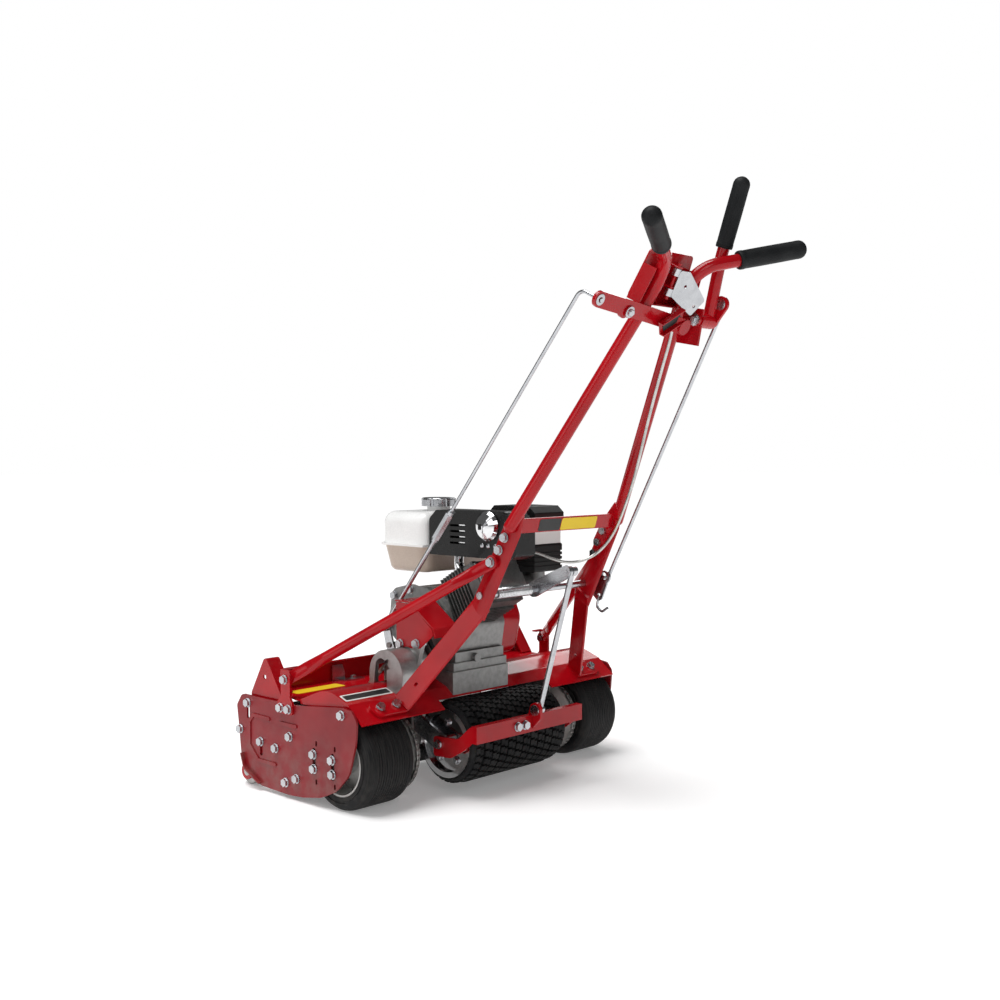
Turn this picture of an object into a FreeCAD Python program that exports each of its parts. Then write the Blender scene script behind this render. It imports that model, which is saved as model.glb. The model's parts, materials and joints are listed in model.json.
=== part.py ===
"""Walk-behind powered reel mower: frame, cutting reel, wheels, engine, drive and controls.

Units are millimetres, +X is the machine's right, +Y its front, +Z up, and the ground is z = 0.
Positions are set out from the bolt line of the handle's feet (y = 0). Every piece is moved
forward by ORIGIN_Y when it is saved, so the model's own origin is the middle of its footprint.
"""
import FreeCAD, Part
import math
import os

V = FreeCAD.Vector
os.makedirs("parts", exist_ok=True)

# ---------------------------------------------------------------- driving dimensions
ORIGIN_Y = 95.92

# Frame
PLATE_IN, PLATE_OUT = 336.0, 340.0        # faces of the side plates, from the centre plane
SHEET = 3.0                               # deck and guard sheet
DECK_HALF = 333.0
DECK_TOP = [(-18, 157), (20, 187), (75, 207), (150, 178), (247, 178)]
DECK_BENDS = [0, 10, 70, 30, 0]
NOTCH_HALF = 143.0                        # gap in the rear lip for the centre tyre
NOTCH_TOP = 170.0

# Wheels and rollers: (y, z) of each axis
WHEEL, WHEEL_R = (50.0, 84.0), 84.0
WHEEL_IN, WHEEL_OUT = 226.0, 330.0
RIM_R = 59.0
REEL, REEL_R, REEL_HALF = (215.0, 98.0), 62.0, 300.0
ROLLER, ROLLER_R = (306.0, 25.0), 25.0
CENTRE, CENTRE_R = (-4.0, 92.0), 75.0
CENTRE_X = (-128.0, 120.0)
CENTRE_RIM = 60.0

# Drive
COUNTER, COUNTER_R = (138.0, 156.0), 10.0
OUTPUT, OUTPUT_R = (45.0, 238.0), 9.0
CRANK, CRANK_R = (95.0, 300.0), 10.0
SMALL_SPROCKET, WHEEL_SPROCKET, REEL_SPROCKET, OUTPUT_SPROCKET = 15.0, 66.0, 30.0, 16.0
CHAIN_T = 3.0
BELT_X = (-139.0, -125.0)
ENGINE_PULLEY_R, OUTPUT_PULLEY_R = 38.0, 30.0

# Belt clutch: arm pivot, rod eye and idler pulley
ARM_PIVOT, ARM_EYE, IDLER = (122.0, 256.0), (131.0, 288.0), (105.0, 231.0)

# Handle, left side (the right side is its mirror image)
LEG_LOW, LEG_TOP = V(-140, -94, 330), V(-133, -170, 478)
TUBE_LOW, HANDLE_BEND, GRIP_END = V(-144.4, -175.2, 485), V(-30.8, -412.4, 906), V(-200.3, -505.9, 946.1)
TUBE_R, BEND_R = 11.0, 62.0
LEG_BOLTS = [(-158.0, 465.5), (-146.0, 444.0), (-133.0, 423.0)]
FOOT_X = (300.0, 228.0)
GRIP_R, GRIP_LENGTH = 16.0, 122.0

# Lift linkage of the centre tyre
CROSS, CROSS_R = (-104.0, 364.0), 6.5
LIFT_EYE, CRANK_EYE, YOKE_EYE = (-182.0, 401.0), (-141.0, 377.0), (-106.0, 146.0)
LEVER, LEVER_EYE = (-393.0, 829.0), (-414.0, 856.0)
LEVER_X = 110.0

# Controls at the head: directions up along the handle and square out of its back
HANDLE_UP, HANDLE_REAR = V(0, -0.449, 0.894), V(0, -0.894, -0.449)
REEL_PIVOT, REEL_ARM, REEL_RISE = V(-101.6, -386.1, 829.5), 78.0, 12.6
THROTTLE_BASE = V(-8, -372, 866) + HANDLE_REAR * 22
CABLE_END, CABLE_R = V(-24, -120.8, 432.2), 2.5

FIT = 0.06                                # radial clearance of shafts in their bearings
X_AXIS = V(1, 0, 0)


# ---------------------------------------------------------------- shape helpers
def at(x, yz):
    """A point from its X and its (y, z) pair."""
    return V(x, yz[0], yz[1])


def box(x0, x1, y0, y1, z0, z1):
    return Part.makeBox(x1 - x0, y1 - y0, z1 - z0, V(x0, y0, z0))


def rod(start, end, radius):
    axis = end - start
    return Part.makeCylinder(radius, axis.Length, start, axis)


def axle(yz, radius, x0, x1):
    return Part.makeCylinder(radius, x1 - x0, at(x0, yz), X_AXIS)


def ring(yz, inner, outer, x0, x1):
    return axle(yz, outer, x0, x1).cut(axle(yz, inner, x0 - 1, x1 + 1))


def join(*shapes):
    whole = shapes[0].multiFuse(list(shapes[1:]))
    return whole.removeSplitter()


def group(shapes):
    return Part.Compound(list(shapes))


def mirrored(shape):
    return shape.mirror(V(0, 0, 0), X_AXIS)


def rounded_wire(points, radii, closed=True):
    """Straight runs through the points, with a tangent arc at each corner that has a radius."""
    count = len(points)
    starts, ends, arcs = [], [], []
    for i, corner in enumerate(points):
        radius = radii[i] if isinstance(radii, (list, tuple)) else radii
        inner = closed or 0 < i < count - 1
        arc = None
        into, out = corner, corner
        if inner and radius > 0:
            before, after = points[i - 1] - corner, points[(i + 1) % count] - corner
            half = before.getAngle(after) / 2
            if half < math.pi / 2 - 0.01:
                run = min(radius / math.tan(half), 0.49 * before.Length, 0.49 * after.Length)
                radius = run * math.tan(half)
                a, b = V(before).normalize(), V(after).normalize()
                into, out = corner + a * run, corner + b * run
                middle = (a + b).normalize() * (radius / math.sin(half) - radius)
                arc = Part.Arc(into, corner + middle, out).toShape()
        starts.append(into)
        ends.append(out)
        arcs.append(arc)
    edges = []
    for i in range(count):
        if arcs[i]:
            edges.append(arcs[i])
        if i < count - 1 or closed:
            target = starts[(i + 1) % count]
            if (target - ends[i]).Length > 0.001:
                edges.append(Part.makeLine(ends[i], target))
    return Part.Wire(edges)


def plate(outline, x0, x1, radii=0):
    """A flat plate across X with a rounded (y, z) outline."""
    face = Part.Face(rounded_wire([at(x0, p) for p in outline], radii))
    return face.extrude(V(x1 - x0, 0, 0))


def folded(profile, x0, x1, thickness, bends):
    """A sheet folded along X: the (y, z) profile is its top face, the thickness lies below it."""
    lower = []
    for i, (y, z) in enumerate(profile):
        normals = []
        for a, b in ((i - 1, i), (i, i + 1)):
            if a >= 0 and b < len(profile):
                dy, dz = profile[b][0] - profile[a][0], profile[b][1] - profile[a][1]
                length = math.hypot(dy, dz)
                normals.append((dz / length, -dy / length))
        ny, nz = sum(n[0] for n in normals), sum(n[1] for n in normals)
        scale = thickness * len(normals) / (ny * ny + nz * nz)
        lower.append((y + ny * scale, z + nz * scale))
    return plate(list(profile) + lower[::-1], x0, x1, list(bends) + list(bends)[::-1])


def link(circles, x0, x1):
    """A plate across X whose outline wraps the circles ((y, z), radius) one after the other."""
    shape = axle(circles[0][0], circles[0][1], x0, x1)
    for (c1, r1), (c2, r2) in zip(circles, circles[1:]):
        shape = shape.fuse(Part.Face(loop_wire(c1, r1, c2, r2, x0)).extrude(V(x1 - x0, 0, 0)))
    return shape.removeSplitter()


def loop_wire(c1, r1, c2, r2, x):
    """The outline of an open belt round two pulleys."""
    dy, dz = c2[0] - c1[0], c2[1] - c1[1]
    heading, spread = math.atan2(dz, dy), math.acos((r1 - r2) / math.hypot(dy, dz))

    def on(centre, radius, angle):
        return V(x, centre[0] + radius * math.cos(angle), centre[1] + radius * math.sin(angle))

    a, b = heading + spread, heading - spread
    return Part.Wire([
        Part.Arc(on(c1, r1, a), on(c1, r1, heading + math.pi), on(c1, r1, b)).toShape(),
        Part.makeLine(on(c1, r1, b), on(c2, r2, b)),
        Part.Arc(on(c2, r2, b), on(c2, r2, heading), on(c2, r2, a)).toShape(),
        Part.makeLine(on(c2, r2, a), on(c1, r1, a))])


def loop_band(c1, r1, c2, r2, thickness, x0, x1):
    outer = Part.Face(loop_wire(c1, r1 + thickness, c2, r2 + thickness, x0))
    inner = Part.Face(loop_wire(c1, r1, c2, r2, x0))
    return outer.cut(inner).extrude(V(x1 - x0, 0, 0))


def pipe(points, radius, bends):
    """A round bar or tube that follows the points, bent at each corner."""
    path = rounded_wire(points, bends, closed=False)
    circle = Part.Wire(Part.makeCircle(radius, points[0], points[1] - points[0]))
    return path.makePipeShell([circle], True, True)


def flat_bar(start, end, width_dir, width, thickness):
    """A straight flat bar between two points, its width lying towards width_dir."""
    along = end - start
    across = width_dir - along * (width_dir.dot(along) / along.dot(along))
    across.normalize()
    through = along.cross(across).normalize()
    corner = start - across * (width / 2) - through * (thickness / 2)
    outline = [corner, corner + across * width]
    outline += [outline[1] + through * thickness, corner + through * thickness]
    return Part.Face(rounded_wire(outline, min(2.0, thickness / 3))).extrude(along)


def oval(centre, along, wide_dir, wide, narrow):
    """A closed oval across a tube's direction, for lofting a flattened end."""
    major = wide_dir - along * (wide_dir.dot(along) / along.dot(along))
    normal = V(along).normalize()
    major.normalize()
    minor = normal.cross(major)
    ellipse = Part.Ellipse(centre + major * wide, centre + minor * narrow, centre)
    return Part.Wire(ellipse.toShape())


def lathe(profile, x0):
    """A solid turned about an X axis through the origin, from (x, r) points."""
    points = [V(x0 + x, 0, r) for x, r in profile]
    face = Part.Face(Part.makePolygon(points + [points[0]]))
    return face.revolve(V(0, 0, 0), X_AXIS, 360)


def turned(profile, yz, x0):
    shape = lathe(profile, x0)
    shape.translate(V(0, yz[0], yz[1]))
    return shape


# ---------------------------------------------------------------- bolts
BOLT_R, HEAD_R, HEAD_H, WASHER_R, WASHER_H = 4.0, 7.5, 5.3, 8.4, 1.6
BOLTS = []                                # (head seat, direction into the joint, grip, has a nut)


def bolt(seat, direction, grip, nutted=True):
    """Hexagon bolt and washer, with a nut or tapped; the seat is where the washer meets the sheet."""
    inward = V(direction).normalize()
    BOLTS.append((seat, inward, grip, nutted))
    tail = 7.5 if nutted else 0
    washer = Part.makeCylinder(WASHER_R, WASHER_H, seat - inward * WASHER_H, inward)
    shank = Part.makeCylinder(BOLT_R, grip + tail + WASHER_H, seat - inward * WASHER_H, inward)
    side = V(0, 0, 1) if abs(inward.z) < 0.9 else V(0, 1, 0)
    side = (side - inward * side.dot(inward)).normalize()
    other = inward.cross(side)
    hexagon = [side * (HEAD_R * math.cos(k * math.pi / 3)) + other * (HEAD_R * math.sin(k * math.pi / 3))
               for k in range(6)]
    face = Part.Face(Part.makePolygon(hexagon + [hexagon[0]]))
    head, nut = face.copy(), face.copy()
    head.translate(seat - inward * (WASHER_H + HEAD_H))
    nut.translate(seat + inward * grip)
    solids = [head.extrude(inward * HEAD_H), washer, shank]
    if nutted:
        solids.append(nut.extrude(inward * 6.5))
    return join(*solids)


def drilled(shape):
    """The shape with a clearance hole for every bolt that runs through it."""
    for seat, inward, grip, _ in BOLTS:
        start = seat - inward * 0.5
        hole = Part.makeCylinder(BOLT_R + 0.3, grip + 1.0, start, inward)
        if shape.BoundBox.intersect(hole.BoundBox):
            shape = shape.cut(hole)
    return shape


# ---------------------------------------------------------------- frame sheets
def make_deck():
    """Formed sheet deck: slanted rear face, arch over the wheels, flat front, closed ends."""
    deck = folded(DECK_TOP, -DECK_HALF, DECK_HALF, SHEET, DECK_BENDS)
    arch = [(12, 171), (22, 187), (50, 197), (75, 201), (100, 196), (148, 177), (148, 171)]
    for x0, x1 in ((-DECK_HALF, -PLATE_IN + 5.6), (PLATE_IN - 5.6, DECK_HALF)):
        deck = deck.fuse(plate(arch, x0, x1, [0, 0, 0, 25, 0, 0, 0]))
        deck = deck.cut(box(x0 - 1, x1 + 1, 165, 260, 160, 190))
    notch = plate([(-60, 120), (10, 120), (10, NOTCH_TOP), (-60, NOTCH_TOP)], -NOTCH_HALF, NOTCH_HALF)
    chain_gap = box(-204, -187.5, 42, 152, 160, 215)
    return drilled(deck.cut(notch).cut(chain_gap).removeSplitter())


def make_front_guard():
    """Upright sheet across the front of the deck, above the grass outlet."""
    profile = [(250.2, 176), (252, 212), (246, 214)]
    guard = folded(profile, -328, 328, SHEET, [0, 2, 0])
    return guard


def side_outline():
    return [(312, 168), (328, 146), (322, 108), (314, 45), (298, 26), (255, 9), (173, 7), (133, 10),
            (83, 19), (44, 36), (9, 70), (-8, 124), (-11, 163), (2, 179), (24, 182), (150, 168)]


def slot(yz, length, radius, x0, x1):
    """An upright slot; yz is its middle."""
    top, bottom = (yz[0], yz[1] + length / 2 - radius), (yz[0], yz[1] - length / 2 + radius)
    return link([(top, radius), (bottom, radius)], x0, x1)


def make_side_plate():
    """Left side plate with its adjustment slots, pressed ribs and turned lower front edge."""
    radii = [14, 10, 40, 20, 16, 40, 60, 60, 60, 50, 40, 50, 14, 6, 10, 30]
    body = plate(side_outline(), -PLATE_OUT, -PLATE_IN, radii)
    ribs = [rounded_rib([(277, 134), (230, 133)]), rounded_rib([(196, 131), (152, 131)]),
            rounded_rib([(277, 134), (288, 122), (288, 78), (262, 54), (212, 54)])]
    body = body.multiFuse(ribs)
    for yz, length in (((293, 142), 34), ((254, 80), 34), ((102, 79), 46), ((52, 77), 46)):
        body = body.cut(slot(yz, length, BOLT_R + 0.3, -PLATE_OUT - 4, -PLATE_IN + 1))
    for yz in ((46, 108), (96, 110), (96, 44), (46, 44)):
        body = body.cut(slot(yz, 10, 2.5, -PLATE_OUT - 4, -PLATE_IN + 1))
    flange = folded([(310, 60), (300, 33), (255, 12.5)], -PLATE_OUT - 7, -PLATE_IN, 2.5, [0, 14, 0])
    return drilled(body.fuse(flange).removeSplitter())


def rounded_rib(points):
    """A pressed rib standing 2 mm out of the left plate."""
    circles = [(p, 3.4) for p in points]
    return link(circles, -PLATE_OUT - 2, -PLATE_OUT + 1)


def make_catcher_hook():
    """Triangular front hook on the left plate, with its folded rear flange."""
    outline = [(292, 150), (292, 173), (254, 238), (246, 238), (205, 179), (205, 150)]
    web = plate(outline, -333, -330, [0, 4, 8, 8, 0, 0])
    flange = folded([(207, 180), (247, 238), (254, 238)], -331, -304, SHEET, [0, 4, 0])
    hole = axle((252, 205), 4.3, -334, -329)
    return drilled(web.fuse(flange).cut(hole).removeSplitter())


def make_strut_bracket():
    """Upright bracket on the outside of the left plate that takes the strut's front end."""
    outline = [(157, 150), (200, 150), (200, 170), (190, 180), (190, 228), (164, 228), (164, 180), (157, 170)]
    web = plate(outline, -344, -340, [6, 6, 6, 6, 4, 4, 6, 6])
    cap = box(-344, -318, 179, 190, 225, 228)
    return drilled(web.fuse(cap).removeSplitter())


def make_handle_foot():
    """Flat strap from the handle leg down to a foot that is bent outward onto the deck."""
    slope = V(0, 0.785, 0.62)
    rise = V(0, -0.62, 0.785)
    base = V(0, 2, 172.8) + rise * 3.0
    outer, inner = V(-FOOT_X[0] + 17, 0, 0) + base, V(-FOOT_X[1], 0, 0) + base
    foot = flat_bar(outer, inner, slope, 34, 6)
    foot = foot.fuse(Part.makeCylinder(17, 6, outer - rise * 3, rise))
    strap_low = inner + V(-3, -2, 2)
    strap_top = LEG_LOW + V(5.6, -7, 18)
    strap = flat_bar(strap_low, strap_top, slope, 38, 6)
    spare = rod(strap_low + (strap_top - strap_low) * 0.2 + V(-30, 8, -6),
                strap_low + (strap_top - strap_low) * 0.2 + V(30, -8, 6), 3.0)
    return drilled(foot.fuse(strap).removeSplitter().cut(spare)).cut(make_handle_tube())


def make_handle_tube():
    """Left handle leg: flat drilled strap below, the round tube welded to its outer face above."""
    wide = V(0, 0.894, 0.449)
    low_dir = LEG_TOP - LEG_LOW
    strap = Part.makeLoft([oval(LEG_LOW, low_dir, wide, 20, 4.2), oval(LEG_TOP, low_dir, wide, 20, 4.2)],
                          True, True)
    strap_end = Part.makeLoft([oval(LEG_TOP, low_dir, wide, 20, 4.2),
                               oval(LEG_TOP + low_dir * 0.24, low_dir, wide, 10, 4.2)], True, True)
    tube = pipe([TUBE_LOW, HANDLE_BEND, GRIP_END], TUBE_R, [0, BEND_R, 0])
    whole = join(strap, strap_end, tube, Part.makeSphere(TUBE_R, TUBE_LOW))
    return drilled(whole.cut(axle(CROSS, CROSS_R + FIT, -160, -100)))


def make_clevis():
    """Fork welded to the right handle tube, which carries the drive lever's pivot."""
    web = flat_bar(V(80, -372, 790), V(80, -384, 850), V(0, 1, 0), 46, 5)
    stay = rod(V(50, -372, 826), V(81, -386, 829), 8)
    return join(web, stay, ring(LEVER, 6, 13, 78, LEVER_X - 14.5)).cut(axle(LEVER, 6, 60, 120))


def make_grip():
    """Left rubber grip: closed tube with a domed end."""
    direction = (GRIP_END - HANDLE_BEND).normalize()
    start = GRIP_END - direction * (GRIP_LENGTH - 12)
    tip = GRIP_END + direction * 2
    body = rod(start, tip, GRIP_R).fuse(Part.makeSphere(GRIP_R, tip))
    hollow = rod(start - direction * 5, GRIP_END, TUBE_R)
    return body.cut(hollow).removeSplitter()


def make_strut():
    """Left strut: round tube with both ends flattened and drilled."""
    front, rear = V(-337, 178, 211), V(-143, -133, 423)
    along = rear - front
    flat = V(along).cross(X_AXIS).normalize()
    sections = [(0.0, 11, 2.6), (0.10, 11.5, 4.2), (0.19, 10, 10), (0.82, 10, 10), (0.91, 11.5, 4.2),
                (1.0, 11, 2.6)]
    pieces = []
    for (t0, a0, b0), (t1, a1, b1) in zip(sections, sections[1:]):
        pieces.append(Part.makeLoft([oval(front + along * t0, along, flat, a0, b0),
                                     oval(front + along * t1, along, flat, a1, b1)], True, True))
    ends = [axle((178, 211), 12, -339.8, -334), axle((-133, 423), 12, -146, -139.9)]
    room = group([axle((178, 211), 8.2, -333.9, -310), axle((-133, 423), 9.2, -175, -146.05)])
    return drilled(join(*(pieces + ends)).cut(make_handle_tube()).cut(room))


def make_crossbar():
    """Flat bar between the legs, with its ends folded forward along them."""
    bar = flat_bar(V(-125.2, -177, 485), V(125.2, -177, 485), V(0, -0.3, 0.95), 26, 4)
    tab = link([((-175, 484), 12), (LEG_BOLTS[0], 12), (LEG_BOLTS[1], 12)], -129.2, -125.2)
    tab = tab.cut(make_handle_tube())
    tubes = make_handle_tube()
    return drilled(join(bar, tab, mirrored(tab))).cut(tubes).cut(mirrored(tubes))


def make_handle_head():
    """Folded tray in front of the handle tubes that ties them together below the grips."""
    u, n = HANDLE_UP, HANDLE_REAR
    middle = V(0, -372, 866) - n * 4
    low, high = middle - u * 14, middle + u * 70
    corners = [low + V(-72, 0, 0), low + V(72, 0, 0), high + V(58, 0, 0), high + V(-58, 0, 0)]
    base = Part.Face(rounded_wire(corners, 8)).extrude(n * -2.5)
    shapes = [base]
    for side in (-1, 1):
        a, b = low + V(72 * side, 0, 0), low + V(62 * side, 0, 0) + u * 60
        shapes.append(flat_bar(a + n * 13, b + n * 13, n, 28, 2.5))
    shapes.append(flat_bar(low + V(-54, 0, 0) + n * 10, low + V(54, 0, 0) + n * 10, n, 22, 2.5))
    tray = join(*shapes).cut(make_throttle_pin()).cut(make_handle_tube()).cut(mirrored(make_handle_tube()))
    fittings = [part.cut(mirrored(make_handle_tube())) for part in (make_clevis(), make_lever_pin())]
    return group([tray, make_reel_pivot(), make_throttle_pin()] + fittings)


# ---------------------------------------------------------------- cutting unit
def make_bedknife():
    """Bed bar between the plates, and the thin fixed blade on top of it."""
    bar = drilled(plate([(160, 14), (196, 14), (198, 30), (188, 33.7), (160, 33.7)], -335.6, 335.6, 2))
    blade = box(-328, 328, 176, 206, 34, 36)
    return group([bar, blade])


def make_reel():
    """Cutting cylinder: shaft with its sprocket, five discs and eight helical blades."""
    shaft = join(axle(REEL, 11, -335.5, 331), axle(REEL, REEL_SPROCKET, -321, -315))
    discs = [ring(REEL, 11, 42, x - 2, x + 2) for x in (-296, -148, 0, 148, 296)]
    blades = []
    stations = 9
    for k in range(8):
        wires = []
        for s in range(stations):
            t = s / (stations - 1)
            x = -REEL_HALF + 2 * REEL_HALF * t
            angle = 2 * math.pi * k / 8 + math.radians(62) * t
            out = V(0, math.cos(angle), math.sin(angle))
            side = V(0, -math.sin(angle), math.cos(angle))
            hub = at(x, REEL)
            corners = [hub + out * 42.05 - side * 2, hub + out * REEL_R - side * 2,
                       hub + out * REEL_R + side * 2, hub + out * 42.05 + side * 2]
            wires.append(Part.makePolygon(corners + [corners[0]]))
        blades.append(Part.makeLoft(wires, True, False))
    return group([shaft] + discs + blades)


def make_roller_bracket():
    shape = link([((254, 89), 14), ((284, 58), 13), (ROLLER, 15)], -335.6, -331.5)
    return drilled(shape.cut(axle(ROLLER, 8 + FIT, -340, -320)))


def make_front_roller():
    profile = [(0, 0), (0, 8), (7.4, 8), (7.4, 23), (9.4, ROLLER_R), (661.8, ROLLER_R), (663.8, 23),
               (663.8, 8), (671.2, 8), (671.2, 0)]
    return turned(profile, ROLLER, -335.6)


def make_axle_bearings():
    """Outer housings on the side plates and inner hangers under the deck, left and right."""
    flange = plate([(38, 46), (116, 46), (116, 112), (38, 112)], -335.8, -332, 8)
    housing = flange.fuse(axle(WHEEL, 22, -335.8, -314)).cut(axle(WHEEL, 12 + FIT, -334, -300))
    hanger = plate([(24, 182), (55, 193), (75, 197), (95, 193), (148, 173.5), (158, 160), (82, 56), (20, 56)],
                   -186, -181, [4, 20, 20, 20, 4, 12, 14, 14])
    hanger = hanger.cut(axle(WHEEL, 12 + FIT, -200, -170)).cut(axle(COUNTER, COUNTER_R + FIT, -200, -170))
    return [drilled(housing), hanger.removeSplitter()]


# ---------------------------------------------------------------- wheels
def make_tyre():
    """Left drive tyre: wide, smooth, with rounded shoulders."""
    width = WHEEL_OUT - WHEEL_IN
    profile = [(0, RIM_R), (0, 74), (3, 80), (8, 83), (14, WHEEL_R), (width - 14, WHEEL_R),
               (width - 8, 83), (width - 3, 80), (width, 74), (width, RIM_R)]
    return turned(profile, WHEEL, -WHEEL_OUT)


def make_wheel_hub():
    """Left hub: rim, dished disc, boss, stub axle and chain sprocket, welded together."""
    rim = ring(WHEEL, 55.5, RIM_R - 0.1, -WHEEL_OUT + 1, -WHEEL_IN - 1)
    disc = turned([(0, 12), (0, 24), (14, 50), (14, 57), (18, 57), (18, 48), (4, 22), (4, 12)], WHEEL, -306)
    disc = disc.cut(group([axle((WHEEL[0] + 36 * math.cos(a), WHEEL[1] + 36 * math.sin(a)), 5, -320, -280)
                           for a in (k * math.pi / 2.5 for k in range(5))]))
    boss = ring(WHEEL, 11, 20, -302, -212)
    sprocket = ring(WHEEL, 11, WHEEL_SPROCKET - 0.3, -211.5, -205.5)
    stub = axle(WHEEL, 12, -331.6, -178)
    return join(rim, disc, boss, sprocket, stub)


def make_centre_tyre():
    """Wide turf tyre in the middle, carried clear of the ground until it is lowered."""
    width = CENTRE_X[1] - CENTRE_X[0]
    profile = [(0, CENTRE_RIM), (0, 66), (4, 71), (12, CENTRE_R), (width - 12, CENTRE_R),
               (width - 4, 71), (width, 66), (width, CENTRE_RIM)]
    return turned(profile, CENTRE, CENTRE_X[0])


def make_centre_hub():
    """Rim of the centre tyre with pressed end discs and the boss that runs on its axle."""
    x0, x1 = CENTRE_X
    rim = ring(CENTRE, 55, CENTRE_RIM - 0.1, x0 - 1.5, x1 + 1.5)
    lips = [ring(CENTRE, 52, 62, x0 - 3, x0 - 0.5), ring(CENTRE, 52, 62, x1 + 0.5, x1 + 3)]
    discs = [ring(CENTRE, 10, 56, x0 + 6, x0 + 9), ring(CENTRE, 10, 56, x1 - 9, x1 - 6)]
    boss = ring(CENTRE, 8 + FIT, 16, x0 - 3, x1 + 3)
    return join(rim, boss, *(lips + discs))


# ---------------------------------------------------------------- swing frame of the centre tyre
def make_swing_arms():
    """Two arms that hang on the countershaft and carry the centre tyre's fixed axle."""
    outline = [(COUNTER, 16), (CENTRE, 17)]
    arms = [link(outline, -139.5, -134.5), link(outline, 126.5, 131.5)]
    arms = [arm.cut(axle(COUNTER, COUNTER_R + FIT, -160, 160)) for arm in arms]
    return join(*(arms + [axle(CENTRE, 8, -139.5, 131.5)]))


def make_yoke():
    """Red yoke round the back of the centre tyre, with the lug that the lift rod pulls."""
    left_x, right_x = -145.5, 132.0
    side = [(9, 105), (9, 70), (-34, 72), (-66, 90), (-84, 106), (-98, 106), (-98, 136), (-82, 134),
            (-52, 108)]
    radii = [5, 5, 20, 20, 10, 1, 3, 16, 20]
    left, right = plate(side, left_x, left_x + 5.5, radii), plate(side, right_x, right_x + 5.5, radii)
    back = [(-98, 106), (-93, 106), (-93, 136), (-98, 136)]
    bar = plate(back, left_x, right_x + 5.5)
    lips = [box(left_x, right_x + 5.5, -98, -85, 133, 136), box(left_x, right_x + 5.5, -98, -85, 106, 109)]
    lug = plate([(-97, 110), (-118, 132), (-118, 154), (-106, 161), (-94, 154), (-88, 134)], -3, 3,
                [2, 8, 12, 12, 8, 4])
    ends = [ring(CENTRE, 4.3, 12, left_x + 5.5, left_x + 5.9), ring(CENTRE, 4.3, 12, right_x - 0.4, right_x)]
    return drilled(join(left, right, bar, lug, *(lips + ends)).cut(axle(YOKE_EYE, 5.6, -6, 6)))


# ---------------------------------------------------------------- drive
def make_counter_shaft():
    shaft = axle(COUNTER, COUNTER_R, -322, 214)
    sprockets = [axle(COUNTER, SMALL_SPROCKET, x, x + 6) for x in (-321, -211.5, -198.5, 205.5)]
    return join(shaft, *sprockets)


def make_output_shaft():
    """Upper shaft: chain sprocket inside the case, grooved belt pulley outside it."""
    shaft = axle(OUTPUT, OUTPUT_R, -214, -123)
    sprocket = axle(OUTPUT, OUTPUT_SPROCKET, -198.5, -192.5)
    return join(shaft, sprocket, grooved_pulley(OUTPUT, OUTPUT_PULLEY_R))


def grooved_pulley(yz, radius):
    x0, x1 = BELT_X
    width = x1 - x0
    profile = [(-2.5, 0), (-2.5, radius), (0, radius), (2.5, radius - 7), (width - 2.5, radius - 7),
               (width, radius), (width + 2.5, radius), (width + 2.5, 0)]
    return turned(profile, yz, x0)


def make_engine_pulley():
    return join(axle(CRANK, CRANK_R, -146, -112), grooved_pulley(CRANK, ENGINE_PULLEY_R))


def make_belt():
    x0, x1 = BELT_X
    return loop_band(CRANK, ENGINE_PULLEY_R - 6.6, OUTPUT, OUTPUT_PULLEY_R - 6.6, 7, x0 + 3, x1 - 3)


def make_chains():
    """Chain loops: output shaft to countershaft, countershaft to both wheels and to the reel."""
    loops = [loop_band(OUTPUT, OUTPUT_SPROCKET + 0.3, COUNTER, SMALL_SPROCKET + 0.3, CHAIN_T, -199, -192)]
    for x0 in (-212, 205):
        loops.append(loop_band(COUNTER, SMALL_SPROCKET + 0.3, WHEEL, WHEEL_SPROCKET, CHAIN_T, x0, x0 + 7))
    loops.append(loop_band(COUNTER, SMALL_SPROCKET + 0.3, REEL, REEL_SPROCKET + 0.3, CHAIN_T, -321.5, -314.5))
    return group(loops)


def make_chain_case():
    """Cast case over the upper sprocket, with its bearing barrel and two-bolt flange."""
    centre = (50.0, 220.0)

    def arch(radius, x0, x1, floor):
        y = centre[0]
        legs = box(x0, x1, y - radius, y + radius, floor, centre[1])
        return legs.fuse(axle(centre, radius, x0, x1))

    below = folded(DECK_TOP, -240, -140, 80, [0, 10, 70, 30, 0])
    case = arch(43, -222, -184, 170).cut(arch(39.8, -219, -187, 150))
    slot_cut = link([((62, 232), 15), ((66, 170), 19)], -224, -216)
    case = case.cut(slot_cut).cut(box(-204, -188, 80, 100, 160, 232)).cut(below)
    barrel = axle(OUTPUT, 22, -185, -146)
    flange = link([((62, 268), 11), (OUTPUT, 24), ((20, 272), 11)], -174, -165)
    whole = join(case, barrel, flange).cut(axle(OUTPUT, OUTPUT_R + FIT, -230, -140))
    return drilled(whole.cut(below))


def make_belt_guard():
    """Folded red guard over the belt, hung from the case's flange."""
    roof = folded([(76, 345), (38, 345), (-24, 302), (-27, 286)][::-1], -176, -118, 2.5, [0, 6, 8, 0])
    side = plate([(72, 260), (12, 264), (-22, 290), (-20, 300), (36, 341), (74, 342)], -176, -174.2,
                 [6, 6, 4, 4, 4, 4])
    return drilled(roof.fuse(side).cut(axle(OUTPUT, 26, -180, -170)).removeSplitter())


def make_clutch_arm():
    """Three-hole arm: pivot bush, eye for the rod and stub for the idler pulley."""
    arm = link([(ARM_EYE, 9), (ARM_PIVOT, 10), (IDLER, 8)], -149.5, -145.5)
    arm = arm.cut(axle(ARM_EYE, 3.5 + FIT, -160, -140)).cut(axle(ARM_PIVOT, 5 + FIT, -160, -140))
    return arm.fuse(axle(IDLER, 4, -152, -124))


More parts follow.
